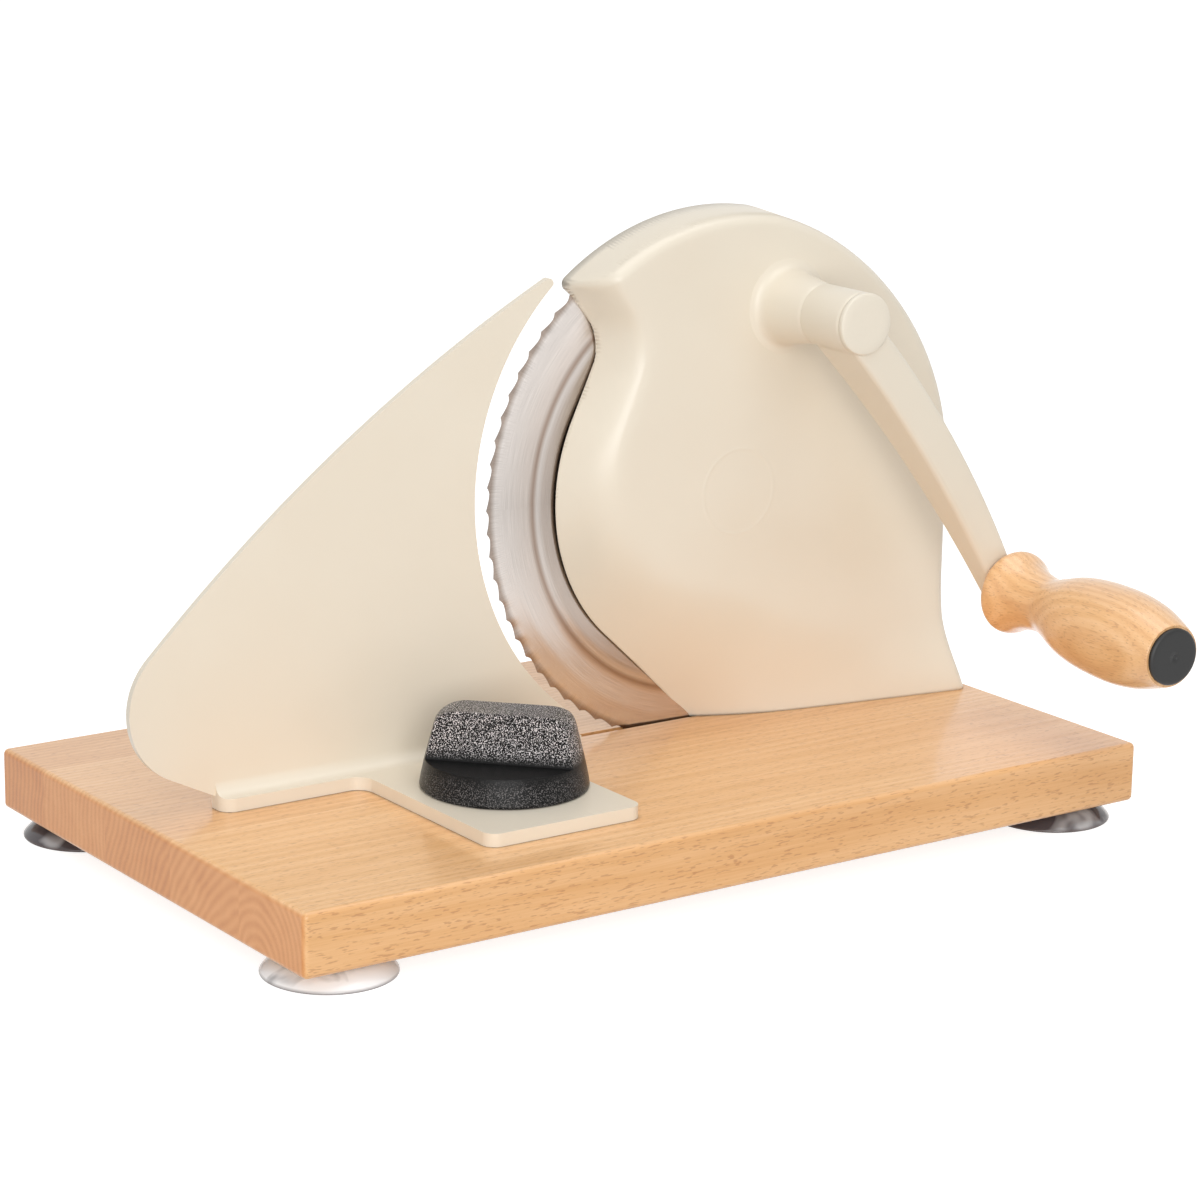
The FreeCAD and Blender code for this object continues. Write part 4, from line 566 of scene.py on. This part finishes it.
print("housing")
housing = {
    "edgeRadius": 69.0, "edgeLean": 227.3, "neckAngle": 141.55, "neckRadius": 17.4, "neckSlack": 2.2,
    "neckEnd": 36.0, "crown": 101.6, "flatten": 2.8, "flattenOver": 80.0, "flattenLean": 1.3,
    "back": 12.0, "face": -10.0, "draft": 0.08, "ramp": 0.485, "leanX": -0.417, "leanZ": 0.577,
    "lip": 6.5, "wall": 2.5, "edgeWall": 0.9, "wallGrows": 0.45, "flareHigh": 45.0, "flareWide": 7.7,
    "ridgeSoft": 8.0, "crownRound": 4.2, "noseRound": 2.8, "noseWrap": 0.07, "footLeft": 1.4,
    "footSlope": 0.167, "footCurl": 8.0, "footReach": 13.0, "footBlend": 30.0, "blendAt": 16.0,
    "blendWide": 12.0, "markRadius": 15.7, "markHigh": 0.12, "markWide": 0.45, "bossFront": -31.0,
    "shadowEdgeFrom": 6.5,
}
axisAt = np.array(axle)
lean = math.radians(housing["edgeLean"])
neckEnd = math.radians(housing["neckEnd"])
neckReach = housing["edgeRadius"] + housing["neckRadius"] + housing["neckSlack"]
neckAt = axisAt + neckReach * np.array([math.cos(math.radians(housing["neckAngle"])),
                                        math.sin(math.radians(housing["neckAngle"]))])
toeX = (axisAt[0] + housing["edgeRadius"] * math.cos(lean)
        + math.tan(lean) * (axisAt[1] + housing["edgeRadius"] * math.sin(lean)))
flareRadius = (housing["flareHigh"] ** 2 + housing["flareWide"] ** 2) / (2 * housing["flareWide"])


def edgeParts(depth):
    # centre and radius of the round part, radius of the neck, and the angle and length of the line
    # that joins them
    cx = axisAt[0] + housing["leanX"] * depth
    cz = axisAt[1] + housing["leanZ"] * depth
    hollow = housing["neckRadius"] + housing["ramp"] * depth
    dx, dz = neckAt[0] - cx, neckAt[1] - cz
    reach = np.hypot(dx, dz)
    radius = reach - hollow - housing["neckSlack"]
    join = np.arctan2(dz, dx) + np.arccos((radius + hollow) / reach)
    return cx, cz, radius, hollow, join, np.sqrt(reach ** 2 - (radius + hollow) ** 2)


def edgeDistance(x, z, depth):
    # how far inside the housing's left edge a place lies, at that depth in front of the lip
    cx, cz, radius, hollow, join, run = edgeParts(depth)
    px, pz = x - cx, z - cz
    along = px * np.sin(join) - pz * np.cos(join)
    belowToe = px * math.sin(lean) - pz * math.cos(lean) < 0
    toe = radius - (px * math.cos(lean) + pz * math.sin(lean))
    disc = radius - np.hypot(px, pz)
    line = radius - (px * np.cos(join) + pz * np.sin(join))
    qx, qz = x - neckAt[0], z - neckAt[1]
    pastNeck = -qx * math.sin(neckEnd) + qz * math.cos(neckEnd) > 0
    neck = np.hypot(qx, qz) - hollow
    nose = qx * math.cos(neckEnd) + qz * math.sin(neckEnd) - hollow
    return np.where(along < 0, np.where(belowToe, toe, disc),
                    np.where(along < run, line, np.where(pastNeck, nose, neck)))


def edgeCurve(depth, crown, step):
    # points along the left edge, from the board up to where it meets the crown
    cx, cz, radius, hollow, join, _ = edgeParts(depth)
    low = (cx + radius * math.cos(lean), cz + radius * math.sin(lean))
    toe = (low[0] + math.tan(lean) * low[1], 0.0)
    points = lineOf(toe, low, step)
    points += arcPoints((cx, cz), radius, housing["edgeLean"], math.degrees(join), step)
    first = (neckAt[0] - hollow * math.cos(join), neckAt[1] - hollow * math.sin(join))
    points += lineOf(points[-1], first, step)[1:]
    points += arcPoints(neckAt, hollow, math.degrees(join) - 180, housing["neckEnd"], step)
    high = np.array(points[-1])
    away = np.array([-math.sin(neckEnd), math.cos(neckEnd)])
    off = high - axisAt
    reach = -off @ away + math.sqrt((off @ away) ** 2 - off @ off + crown ** 2)
    points += lineOf(tuple(high), tuple(high + away * reach), step)[1:]
    spaced = [points[0]]
    for p in points[1:]:
        if math.dist(p, spaced[-1]) > 0.2:
            spaced.append(p)
    return spaced


def crownRadius(angle):
    # the crown is a circle round the axle that flattens a little on its upper right
    share = np.clip(angle / math.radians(housing["flattenOver"]), 0, 1) ** housing["flattenLean"]
    return housing["crown"] - housing["flatten"] * np.sin(math.pi * share)


def crownCurve(inset, step):
    # points along the crown and the right side, from the nose round and down to the board
    radius = housing["crown"] - inset
    nose = edgeCurve(0, radius, 3)[-1]
    start = math.degrees(math.atan2(nose[1] - axisAt[1], nose[0] - axisAt[0]))
    side = axisAt[0] + radius
    points = []
    for x, z in arcPoints(axisAt, 1, start, 0, step / radius):
        reach = crownRadius(math.atan2(z - axisAt[1], x - axisAt[0])) - inset
        points.append((axisAt[0] + reach * (x - axisAt[0]), axisAt[1] + reach * (z - axisAt[1])))
    points += lineOf((side, axisAt[1]), (side, housing["flareHigh"]), step)[1:]
    bend = math.degrees(math.asin(housing["flareHigh"] / flareRadius))
    points += arcPoints((side + flareRadius, housing["flareHigh"]), flareRadius, 180, 180 + bend, step)[1:]
    return points


noseAt = edgeCurve(0, housing["crown"], 1.4)[-1]


def ease(distance, width):
    # the distance above 0 and nothing below it, with a soft turn of that width
    return (distance + np.sqrt(distance ** 2 + width ** 2)) / 2


def softMax(a, b, width):
    # the larger of two, with a round where they cross
    return np.maximum(a, b) + np.maximum(width - np.abs(a - b), 0) ** 2 / (4 * width)


def frontHeight(x, z):
    # Y of the housing's front skin: face, foot, ramp and outer wall run softly into each other
    curl = housing["footCurl"] * np.exp(-ease(x + z - toeX, 6) / housing["footReach"])
    low = housing["footLeft"] + curl - housing["footSlope"] * ease(x - toeX, 8)
    leftward = 1 / (1 + np.exp((x - axisAt[0] - housing["blendAt"]) / housing["blendWide"]))
    share = np.clip(z / (housing["footBlend"] * (1 + leftward)), 0, 1)
    share = share * share * (3 - 2 * share)
    face = (1 - share) * low + share * housing["face"]
    near, far = np.zeros_like(x), np.full_like(x, 30.0)
    for _ in range(24):
        middle = (near + far) / 2
        inside = edgeDistance(x, z, middle) > 0
        near, far = np.where(inside, middle, near), np.where(inside, far, middle)
    ramp = housing["lip"] - near
    skin = softMax(ramp, face, housing["ridgeSoft"])
    side = axisAt[0] + housing["crown"]
    below = np.clip(housing["flareHigh"] - z, 0, flareRadius)
    flare = side + flareRadius - np.sqrt(flareRadius ** 2 - below ** 2) - x
    crown = crownRadius(np.arctan2(z - axisAt[1], x - axisAt[0]))
    inwards = np.where(z > axisAt[1], crown - np.hypot(x - axisAt[0], z - axisAt[1]), flare)
    # at the nose the outer wall turns the corner and runs out along the left edge
    r = housing["noseRound"]
    along = np.hypot(x - noseAt[0], z - noseAt[1])
    left = edgeDistance(x, z, 0) + housing["noseWrap"] * np.maximum(along - 3, 0)
    corner = r - np.hypot(np.maximum(r - inwards, 0), np.maximum(r - left, 0))
    inwards = np.where((inwards < r) & (left < r), corner, np.minimum(inwards, left))
    # outer wall, and the round between it and the face
    soft = housing["crownRound"]
    wall = housing["back"] - inwards / housing["draft"]
    past = np.clip(inwards - (housing["back"] - skin - soft) * housing["draft"], 0, soft)
    turn = skin + soft - np.sqrt(soft ** 2 - (soft - past) ** 2)
    skin = np.minimum(np.where(past > 0, turn, wall), housing["back"])
    # a faint pressed ring round the blade's axle
    mark = np.hypot(x - axisAt[0], z - axisAt[1]) - housing["markRadius"]
    return skin - housing["markHigh"] * np.exp(-(mark / housing["markWide"]) ** 2)


def buildHousing():
    edge = edgeCurve(0, housing["crown"], 1.4)
    crown = crownCurve(0, 1.4)
    floorLine = lineOf(crown[-1], edge[0], 1.6)[1:-1]
    cut = housing["noseRound"] * 0.94
    edge = [p for p in edge if math.dist(p, noseAt) > cut]
    crown = [p for p in crown if math.dist(p, noseAt) > cut]
    loop = edge + curveBetween(edge[-1], crown[0], housing["noseRound"], -1, 0.5)[1:-1] + crown + floorLine
    # rows of points down the ramp, round the crown, along the pressed ring and above the board
    extra = []
    for depth in (0.25, 0.7, 1.4, 2.4, 3.8, 5.6, 7.6, 9.6, 11.4, 12.8, 14, 15.2, 16.4, 17.6, 19, 21):
        extra += edgeCurve(depth, housing["crown"] - 0.6, 1.3)[1:-1]
    for inset in (0.36, 0.75, 1.15, 1.42, 1.6, 1.9, 2.3, 2.8, 3.4, 4.1, 4.9, 5.7, 6.8):
        extra += crownCurve(inset, 1.4)[1:-1]
    for offset in (-1.4, -0.9, -0.45, 0, 0.45, 0.9, 1.4):
        extra += arcPoints(axisAt, housing["markRadius"] + offset, 0, 356, 0.9)
    for height in (0.8, 1.6):
        extra += lineOf((toeX + 3, height), (crown[-1][0] - 3, height), 1.6)
    extra = [p for p in extra if p[1] > 0.3 and edgeDistance(np.array(p[0]), np.array(p[1]), 0) > 0.1]
    places, triangles = fillFace(loop, 3.4, extra, 0.17)
    flat = np.array(places)
    x, z = flat[:, 0], np.maximum(flat[:, 1], 0)
    y = frontHeight(x, z)
    step = 0.05
    slopeX = (frontHeight(x + step, z) - frontHeight(x - step, z)) / (2 * step)
    slopeZ = (frontHeight(x, z + step) - frontHeight(x, z - step)) / (2 * step)
    normal = np.stack([slopeX, -np.ones_like(x), slopeZ], axis=1)
    normal /= np.linalg.norm(normal, axis=1)[:, None]
    # inner skin: the wall is thin at the cut edge and soon reaches its full thickness
    thick = np.clip(housing["edgeWall"] + housing["wallGrows"] * edgeDistance(x, z, 0),
                    housing["edgeWall"], housing["wall"])
    inner = np.stack([x, y, z], axis=1) - normal * thick[:, None]
    inner[:, 1] = np.minimum(inner[:, 1], housing["back"])
    inner[:, 2] = np.maximum(inner[:, 2], 0)
    inner[z < 1e-4, 2] = 0
    count = len(x)
    points = [tuple(p) for p in np.stack([x, y, z], axis=1)] + [tuple(p) for p in inner]
    faces = triangles + [tuple(k + count for k in f[::-1]) for f in triangles]
    # the two skins are joined round the outline
    seen = {edge: True for f in triangles for edge in zip(f, f[1:] + f[:1])}
    rim = [(a, b) for a, b in seen if (b, a) not in seen]
    faces += [(b, a, a + count, b + count) for a, b in rim]
    # boss that carries the crank, its skirt running out level with the face
    boss = smoothProfile([(7.06, 14, 0), (7.06, 0, 0), (10.4, 0, 0), (10.7, 0.3, 0), (13.2, 17.0, 0),
                          (13.9, 18.9), (15.2, 20.3), (17.4, 21.02)], 6)
    bossPoints, bossFaces = turned(boss)
    base = len(points)
    points += [(crankAt[0] + p[0], housing["bossFront"] + p[2], crankAt[1] + p[1]) for p in bossPoints]
    faces += [tuple(base + k for k in f) for f in bossFaces]
    made = meshObject("housing", points, faces, creamEnamel, "base", ["housing_shell"])
    # painted shade: a dark metal on the cut edge beside the blade stands in for the shadow in the gap over
    # the blade
    made.data.materials.append(paintedShadowEdge)
    for face in made.data.polygons:
        x, _, z = face.center / mm - boardTop
        if (edgeDistance(np.array(x), np.array(z), 0) < 0.03 and z > 0.5
                and math.dist((x, z), noseAt) > housing["shadowEdgeFrom"]):
            face.material_index = 1
    return made


buildHousing()

print("blade")
blade = {"radius": 96.3, "front": 8.6, "thick": 1.2, "dish": 0.6, "step": 74.0, "stepWide": 6.0,
         "bevel": 9.0, "edge": 0.3, "thinnest": 0.08, "hole": 8.3, "teeth": 72, "deep": 1.15, "dip": 0.3,
         "baysFrom": 94.0, "scoop": 0.14, "scoopFrom": 92.2, "scoopFull": 1.6}


def buildBlade():
    perTooth = 14
    around = blade["teeth"] * perTooth
    radii = [blade["hole"], 14, 30, 50, 66, 71, 73, 74, 75.2, 76.4, 77.6, 78.8, 80, 81, 83, 86, 87.3,
             88.6, 90, 91.2, 92.2, 93.0, 93.7, 94.4, 95.0, 95.6, blade["radius"]]
    front, back = [], []
    for radius in radii:
        for i in range(around):
            angle = 2 * math.pi * i / around
            share = (i % perTooth) / perTooth
            # each bay dips soon after the tooth and comes back slowly to the next one
            if share < blade["dip"]:
                bow = math.sin(math.pi / 2 * share / blade["dip"])
            else:
                bow = math.cos(math.pi / 2 * (share - blade["dip"]) / (1 - blade["dip"]))
            follow = max(0, radius - blade["baysFrom"]) / (blade["radius"] - blade["baysFrom"])
            r = radius - blade["deep"] * bow * follow
            lift = -blade["dish"] * min(1, max(0, (blade["step"] + blade["stepWide"] - r)
                                               / blade["stepWide"]))
            bevel = max(0, r - blade["radius"] + blade["bevel"]) / blade["bevel"]
            # the grinding wheel has hollowed each bay
            reach = max(0, r - blade["scoopFrom"]) / (blade["radius"] - blade["scoopFrom"])
            hollow = (blade["scoop"] * math.sin(math.pi * share) ** 2
                      * min(1, reach * blade["scoopFull"]))
            ground = min(lift + bevel * (blade["thick"] - blade["edge"]) + hollow,
                         blade["thick"] - blade["thinnest"])
            x, z = axle[0] + r * math.cos(angle), axle[1] + r * math.sin(angle)
            front.append((x, blade["front"] + ground, z))
            back.append((x, blade["front"] + blade["thick"] + lift, z))
    points = front + back
    count, last = len(front), (len(radii) - 1) * around
    faces = loopStrip(0, count, around) + loopStrip(last, count + last, around)
    for inner in range(0, last, around):
        for side in (0, count):
            faces += loopStrip(side + inner, side + inner + around, around)
    made = meshObject("blade", points, faces, bladeSteel, "blade", ["blade_disc"])
    edges = made.modifiers.new("crisp edge", "EDGE_SPLIT")
    edges.split_angle = math.radians(40)
    return settle(made)


buildBlade()

print("stop plate")
plate = {"back": 4.8, "thick": 2.5, "foot": 4.7, "under": 0.06, "footFront": -3.8, "footLeft": -146.0,
         "right": 0.0, "footRound": 5.0, "bend": 5.0, "arcAt": (59.1, 93.8), "arc": 101.4, "tip": 133.2,
         "tipLeft": (-13.0, 170.1), "tipRound": 2.0, "topCurve": 618.0, "elbow": (-170.3, 55.1),
         "lobe": 26.14, "heel": (-162.8, 13.0), "edgeSoft": 1.0, "lugLeft": -91.2, "lugRight": -29.2,
         "lugFront": -83.0, "lugRound": 5.0, "lugInside": 6.0}


def buildPlate():
    front = plate["back"] - plate["thick"]
    left, right, foot, bend = plate["footLeft"], plate["right"], plate["foot"], plate["bend"]
    arcX, arcZ = plate["arcAt"]
    arcFoot = arcZ - math.sqrt(plate["arc"] ** 2 - (arcX - right) ** 2)
    first = math.degrees(math.atan2(arcFoot - arcZ, right - arcX)) + 360
    outline = [(left, 0.3), (right, 0.3)]
    outline += arcPoints((arcX, arcZ), plate["arc"], first, plate["tip"], 2.5)
    outline += curveBetween(outline[-1], plate["tipLeft"], plate["tipRound"], 1, 0.5)[1:]
    outline += curveBetween(plate["tipLeft"], plate["elbow"], plate["topCurve"], 1, 3)[1:]
    outline += curveBetween(plate["elbow"], plate["heel"], plate["lobe"], 1, 1.6)[1:]
    outline += [(left, foot)]
    wall = prism(outline, lambda u, v, h: (u, h, v), front, plate["back"])
    # foot with the bend that runs up into the wall, its free end rounded in plan
    under = plate["under"]
    profile = [(plate["back"], under), (plate["footFront"], under), (plate["footFront"], foot)]
    profile += arcPoints((front - bend, foot + bend), bend, -90, 0, 0.8)
    profile += [(plate["back"], foot + bend)]
    bent = prism(profile, lambda u, v, h: (h, u, v), left, right)
    r = plate["footRound"]
    plan = arcPoints((left + r, plate["footFront"] + r), r, 180, 270, 0.7)
    plan += [(right + 5, plate["footFront"]), (right + 5, 20), (left, 20)]
    combine(bent, [prism(plan, lambda u, v, h: (u, v, h), -5, 40)], "INTERSECT")
    low, high, r, inside = plate["lugLeft"], plate["lugRight"], plate["lugRound"], plate["lugInside"]
    deep, edge = plate["lugFront"], plate["footFront"]
    plan = [(low - inside, edge + 2)] + arcPoints((low - inside, edge - inside), inside, 90, 0, 0.8)
    plan += arcPoints((low + r, deep + r), r, 180, 270, 0.8)
    plan += arcPoints((high - r, deep + r), r, 270, 360, 0.8)
    plan += arcPoints((high + inside, edge - inside), inside, 180, 90, 0.8) + [(high + inside, edge + 2)]
    lug = prism(plan, lambda u, v, h: (u, v, h), under, foot)
    made = combine(bent, [wall, lug], "UNION")
    made.name = "stop_plate_sheet"
    soften(made, plate["edgeSoft"], 35)
    return dress(made, creamEnamel, "stop", ["stop_plate"])


buildPlate()

print("clamp knob")
knob = {"x": -56.3, "y": -38.8, "z": 4.75, "ledge": 10.0, "high": 27.0, "half": 9.3, "halfTop": 7.2,
        "turn": -46.0, "soft": 1.6, "clear": 34.0, "clearLong": 40.0}


def buildKnob():
    body = smoothProfile([
        (7.0, 0.0, 0), (28.4, 0.0, 0), (29.0, 0.3), (29.2, 1.0, 0), (28.7, 4.0, 0),
        (27.4, knob["ledge"], 0), (24.6, 21.0, 0), (23.7, 23.6), (21.9, 25.6), (18.8, 26.7),
        (15.0, knob["high"]), (0.0, knob["high"], 0)], 6)
    points, faces = turned([(0.0, 16.0), (7.0, 16.0)] + body, 128)
    place = Matrix.Translation(fromBoard(knob["x"], knob["y"], knob["z"])) @ Matrix.Rotation(
        math.radians(knob["turn"]), 4, "Z")
    made = meshObject("clamp_knob_body", points, faces, blackAbs, "knob", turn=place)
    cutters = []
    for side in (1, -1):
        # drafted block beside the grip bar
        clear, halfTop = knob["clear"], knob["halfTop"] - 0.6
        section = [(side * knob["half"], knob["ledge"]), (side * clear, knob["ledge"]),
                   (side * clear, clear), (side * halfTop, clear)]
        cutter = prism(section, lambda u, v, h: (h, u, v), -knob["clearLong"], knob["clearLong"])
        for vertex in cutter.data.vertices:
            vertex.co = place @ (vertex.co - boardTop * mm)
        cutters.append(cutter)
    combine(made, cutters, "DIFFERENCE")
    soften(made, knob["soft"], 30)
    made.data.materials.clear()
    made.data.materials.append(blackAbs)
    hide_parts("clamp_knob")


buildKnob()

print("crank arm")
arm = {"hub": 11.0, "hubBack": -31.15, "hubFront": -53.05, "endBack": -39.5, "endFront": -48.4,
       "endTop": 5.6, "endUnder": 6.0, "topCurve": 420.0, "underCurve": 600.0, "soft": 2.2,
       "backSoft": 0.35, "eye": 7.5, "capRound": 0.7, "cap": 2.0}


def buildArm():
    # the arm is drawn lying along X and then turned to its angle
    place = Matrix.Translation(fromBoard(crankAt[0], 0, crankAt[1])) @ Matrix.Rotation(gripAngle, 4, "Y")
    under, top = (grip["throw"], -arm["endUnder"]), (grip["throw"], arm["endTop"])
    endRound = (arm["endTop"] + arm["endUnder"]) / 2 + 0.001  # a little over half of what it spans
    outline = curveBetween((0.6 * arm["hub"], -0.8 * arm["hub"]), under, arm["underCurve"], -1, 2.5)
    outline += curveBetween(under, top, endRound, 1, 0.9)[1:]
    outline += curveBetween(top, (0.8 * arm["hub"], 0.6 * arm["hub"]), arm["topCurve"], 1, 2.5)[1:]
    start = math.degrees(math.atan2(0.6, 0.8))
    outline += arcPoints((0, 0), arm["hub"], start, 360 - math.degrees(math.atan2(0.8, 0.6)), 0.9)[1:-1]

    def taper(x, near, far):
        return near + (far - near) * ease(x - arm["hub"] - 2, 6) / (grip["throw"] - arm["hub"])

    points, faces = roundedSlab(
        outline, lambda x, z: taper(x, arm["hubFront"], arm["endFront"]),
        lambda x, z: taper(x, arm["hubBack"], arm["endBack"]), arm["soft"], arm["backSoft"])
    return meshObject("crank_arm_body", points, faces, creamEnamel, "crank", ["crank_arm"],
                      turn=place)


buildArm()
capRound = arm["capRound"]
capProfile = smoothProfile([(0, 0, 0), (arm["hub"], 0, 0), (arm["hub"], arm["cap"] - capRound, 0),
                            (arm["hub"] - 0.3 * capRound, arm["cap"] - 0.3 * capRound, 0),
                            (arm["hub"] - capRound, arm["cap"], 0), (0, arm["cap"], 0)], 3)
points, faces = turned(capProfile)
meshObject("hub_cap_disc", [(p[0], arm["hubFront"] - p[2], p[1]) for p in points], faces, creamAbs,
           "crank", ["hub_cap"],
           turn=Matrix.Translation(fromBoard(crankAt[0], 0, crankAt[1])))

print("grip")
gripPlace = (Matrix.Translation(fromBoard(pinAt[0], grip["base"], pinAt[1]))
             @ Matrix.Rotation(math.radians(grip["yaw"]), 4, "Z")
             @ Matrix.Rotation(math.radians(grip["roll"]), 4, "X"))
gripProfile = smoothProfile([
    (4.6, 12, 0), (4.6, 0.3, 0), (14.2, 0.3, 0), (15.2, 1.2), (15.55, 2.8), (14.9, 5.0), (12.9, 9),
    (11.4, 14), (10.55, 20), (10.75, 25), (12.9, 32), (15.2, 39.5), (16.6, 48), (17.25, 58),
    (17.1, 69), (15.6, 79), (13.2, 87), (11.5, 91.4), (10.9, 91.7, 0), (4.6, 91.7, 0)], 6)
points, faces = turned(gripProfile, 128)
meshObject("grip_body", [(p[0], -p[2], p[1]) for p in points], faces, gripBeech, "grip",
           ["handle_grip"], turn=gripPlace)
plugProfile = smoothProfile([(0, 88.7, 0), (7, 88.7, 0), (7, 91.7, 0), (10.3, 91.7, 0),
                             (10.3, 92.7, 0), (9.6, 93.35), (8.6, 93.5, 0), (1.1, 93.5, 0),
                             (0.9, 93.3, 0), (0, 93.25, 0)], 4)
points, faces = turned(plugProfile)
meshObject("grip_plug", [(p[0], -p[2], p[1]) for p in points], faces, plugBlack, "grip",
           ["grip_cap"], turn=gripPlace)
eyeProfile = smoothProfile([(0, 3.6, 0), (arm["eye"], 3.6, 0), (arm["eye"], 0.5, 0),
                            (arm["eye"] - 0.5, 0.0, 0), (0, 0.0, 0)], 3)
points, faces = turned(eyeProfile)
meshObject("crank_arm_eye", [(p[0], p[2], p[1]) for p in points], faces, creamEnamel, "crank",
           turn=gripPlace)

print("feet")
# the amount of grey per foot is painted shade: the feet under the board are painted darker
feet = {"x": 153, "y": 84, "smokeAndShade": {"front_left": 0.17, "front_right": 0.8, "rear_left": 1.0,
                                     "rear_right": 0.8}}
footProfile = smoothProfile([
    (2.0, 4.0, 0), (9.0, 4.0, 0), (14.0, 3.3), (18.5, 1.7), (21.3, 0.0, 0), (22.1, 0.0, 0),
    (22.5, 0.35), (22.3, 1.1), (20.9, 2.6), (18.6, 4.3), (15.4, 5.9), (12.0, 6.9), (9.4, 7.3),
    (9.0, 7.5, 0), (2.0, 7.5, 0), (2.0, 4.0, 0)], 5)
points, faces = turned(footProfile)
for name, smokeAndShade in feet["smokeAndShade"].items():
    x = feet["x"] if "right" in name else -feet["x"]
    y = feet["y"] if "rear" in name else -feet["y"]
    meshObject("suction_" + name, [(x + p[0], y + p[1], p[2] - boardTop.z) for p in points], faces,
               smokyShadedRubber("smoky_shaded_rubber_" + name, smokeAndShade), "base", ["foot_" + name])

print("studio")


def seenWhite(add):
    # 1 where the camera, a reflection or glass looks at the studio, and 0 for its light
    path = add("LightPath").outputs
    seen = add("Math", {0: path["Is Camera Ray"], 1: path["Is Glossy Ray"]}, operation="MAXIMUM")
    return add("Math", {0: seen, 1: path["Is Transmission Ray"]}, operation="MAXIMUM")


def buildStage(grey, glow):
    half = 6.0
    mesh = bpy.data.meshes.new("floor")
    mesh.from_pydata([(-half, -half, 0), (half, -half, 0), (half, half, 0), (-half, half, 0)], [],
                     [(0, 1, 2, 3)])
    floor = bpy.data.objects.new("floor", mesh)
    scene.collection.objects.link(floor)
    material = bpy.data.materials.new("white_floor")
    add = newTree(material)
    matt = add("BsdfDiffuse", {"Color": (grey, grey, grey, 1)})
    lift = add("Math", {0: seenWhite(add), 1: glow}, operation="MULTIPLY")
    shine = add("Emission", {"Color": white, "Strength": lift})
    both = add("AddShader", {0: matt, 1: shine})
    add("OutputMaterial", {"Surface": both})
    mesh.materials.append(material)


def buildWorld(ambient):
    scene.world = bpy.data.worlds.new("studio")
    add = newTree(scene.world)
    level = add("MapRange", {"Value": seenWhite(add), "To Min": ambient, "To Max": 1.0})
    light = add("Background", {"Color": white, "Strength": level})
    add("OutputWorld", {"Surface": light})


def softbox(name, place, aim, width, watts):
    lamp = bpy.data.lights.new(name, "AREA")
    lamp.shape = "SQUARE"
    lamp.size = width
    lamp.energy = watts
    made = bpy.data.objects.new(name, lamp)
    made.location = place
    made.rotation_euler = (Vector(aim) - Vector(place)).to_track_quat("-Z", "Y").to_euler()
    scene.collection.objects.link(made)


buildStage(0.6, 0.8)
buildWorld(0.47)
softbox("key", (-1.0, -1.9, 0.7), (0, 0, 0.1), 1.4, 23)
softbox("top", (0.2, -0.2, 1.9), (0, 0, 0.1), 1.6, 13.5)
softbox("fill", (-1.3, -1.0, 0.2), (0, 0, 0.08), 0.7, 3.5)

print("camera")
view = {"lens": 107.101, "place": (-704.0746, -1011.632, 368.2724), "azimuth": -35.21256,
        "down": 14.29955, "roll": 0.88349}
azimuth, down, roll = (math.radians(view[k]) for k in ("azimuth", "down", "roll"))
back = Vector((math.sin(azimuth) * math.cos(down), -math.cos(azimuth) * math.cos(down), math.sin(down)))
right = (-back).cross(Vector((0, 0, 1))).normalized()
up = right.cross(-back)
turnedRight = right * math.cos(roll) + up * math.sin(roll)
turnedUp = up * math.cos(roll) - right * math.sin(roll)
lens = bpy.data.cameras.new("camera")
lens.sensor_width = 36
lens.lens = view["lens"]
lens.clip_start = 0.05
camera = bpy.data.objects.new("camera", lens)
camera.matrix_world = Matrix.Translation(fromBoard(*view["place"])) @ Matrix(
    (turnedRight, turnedUp, back)).transposed().to_4x4()
scene.collection.objects.link(camera)
scene.camera = camera
scene.view_settings.view_transform = "Standard"
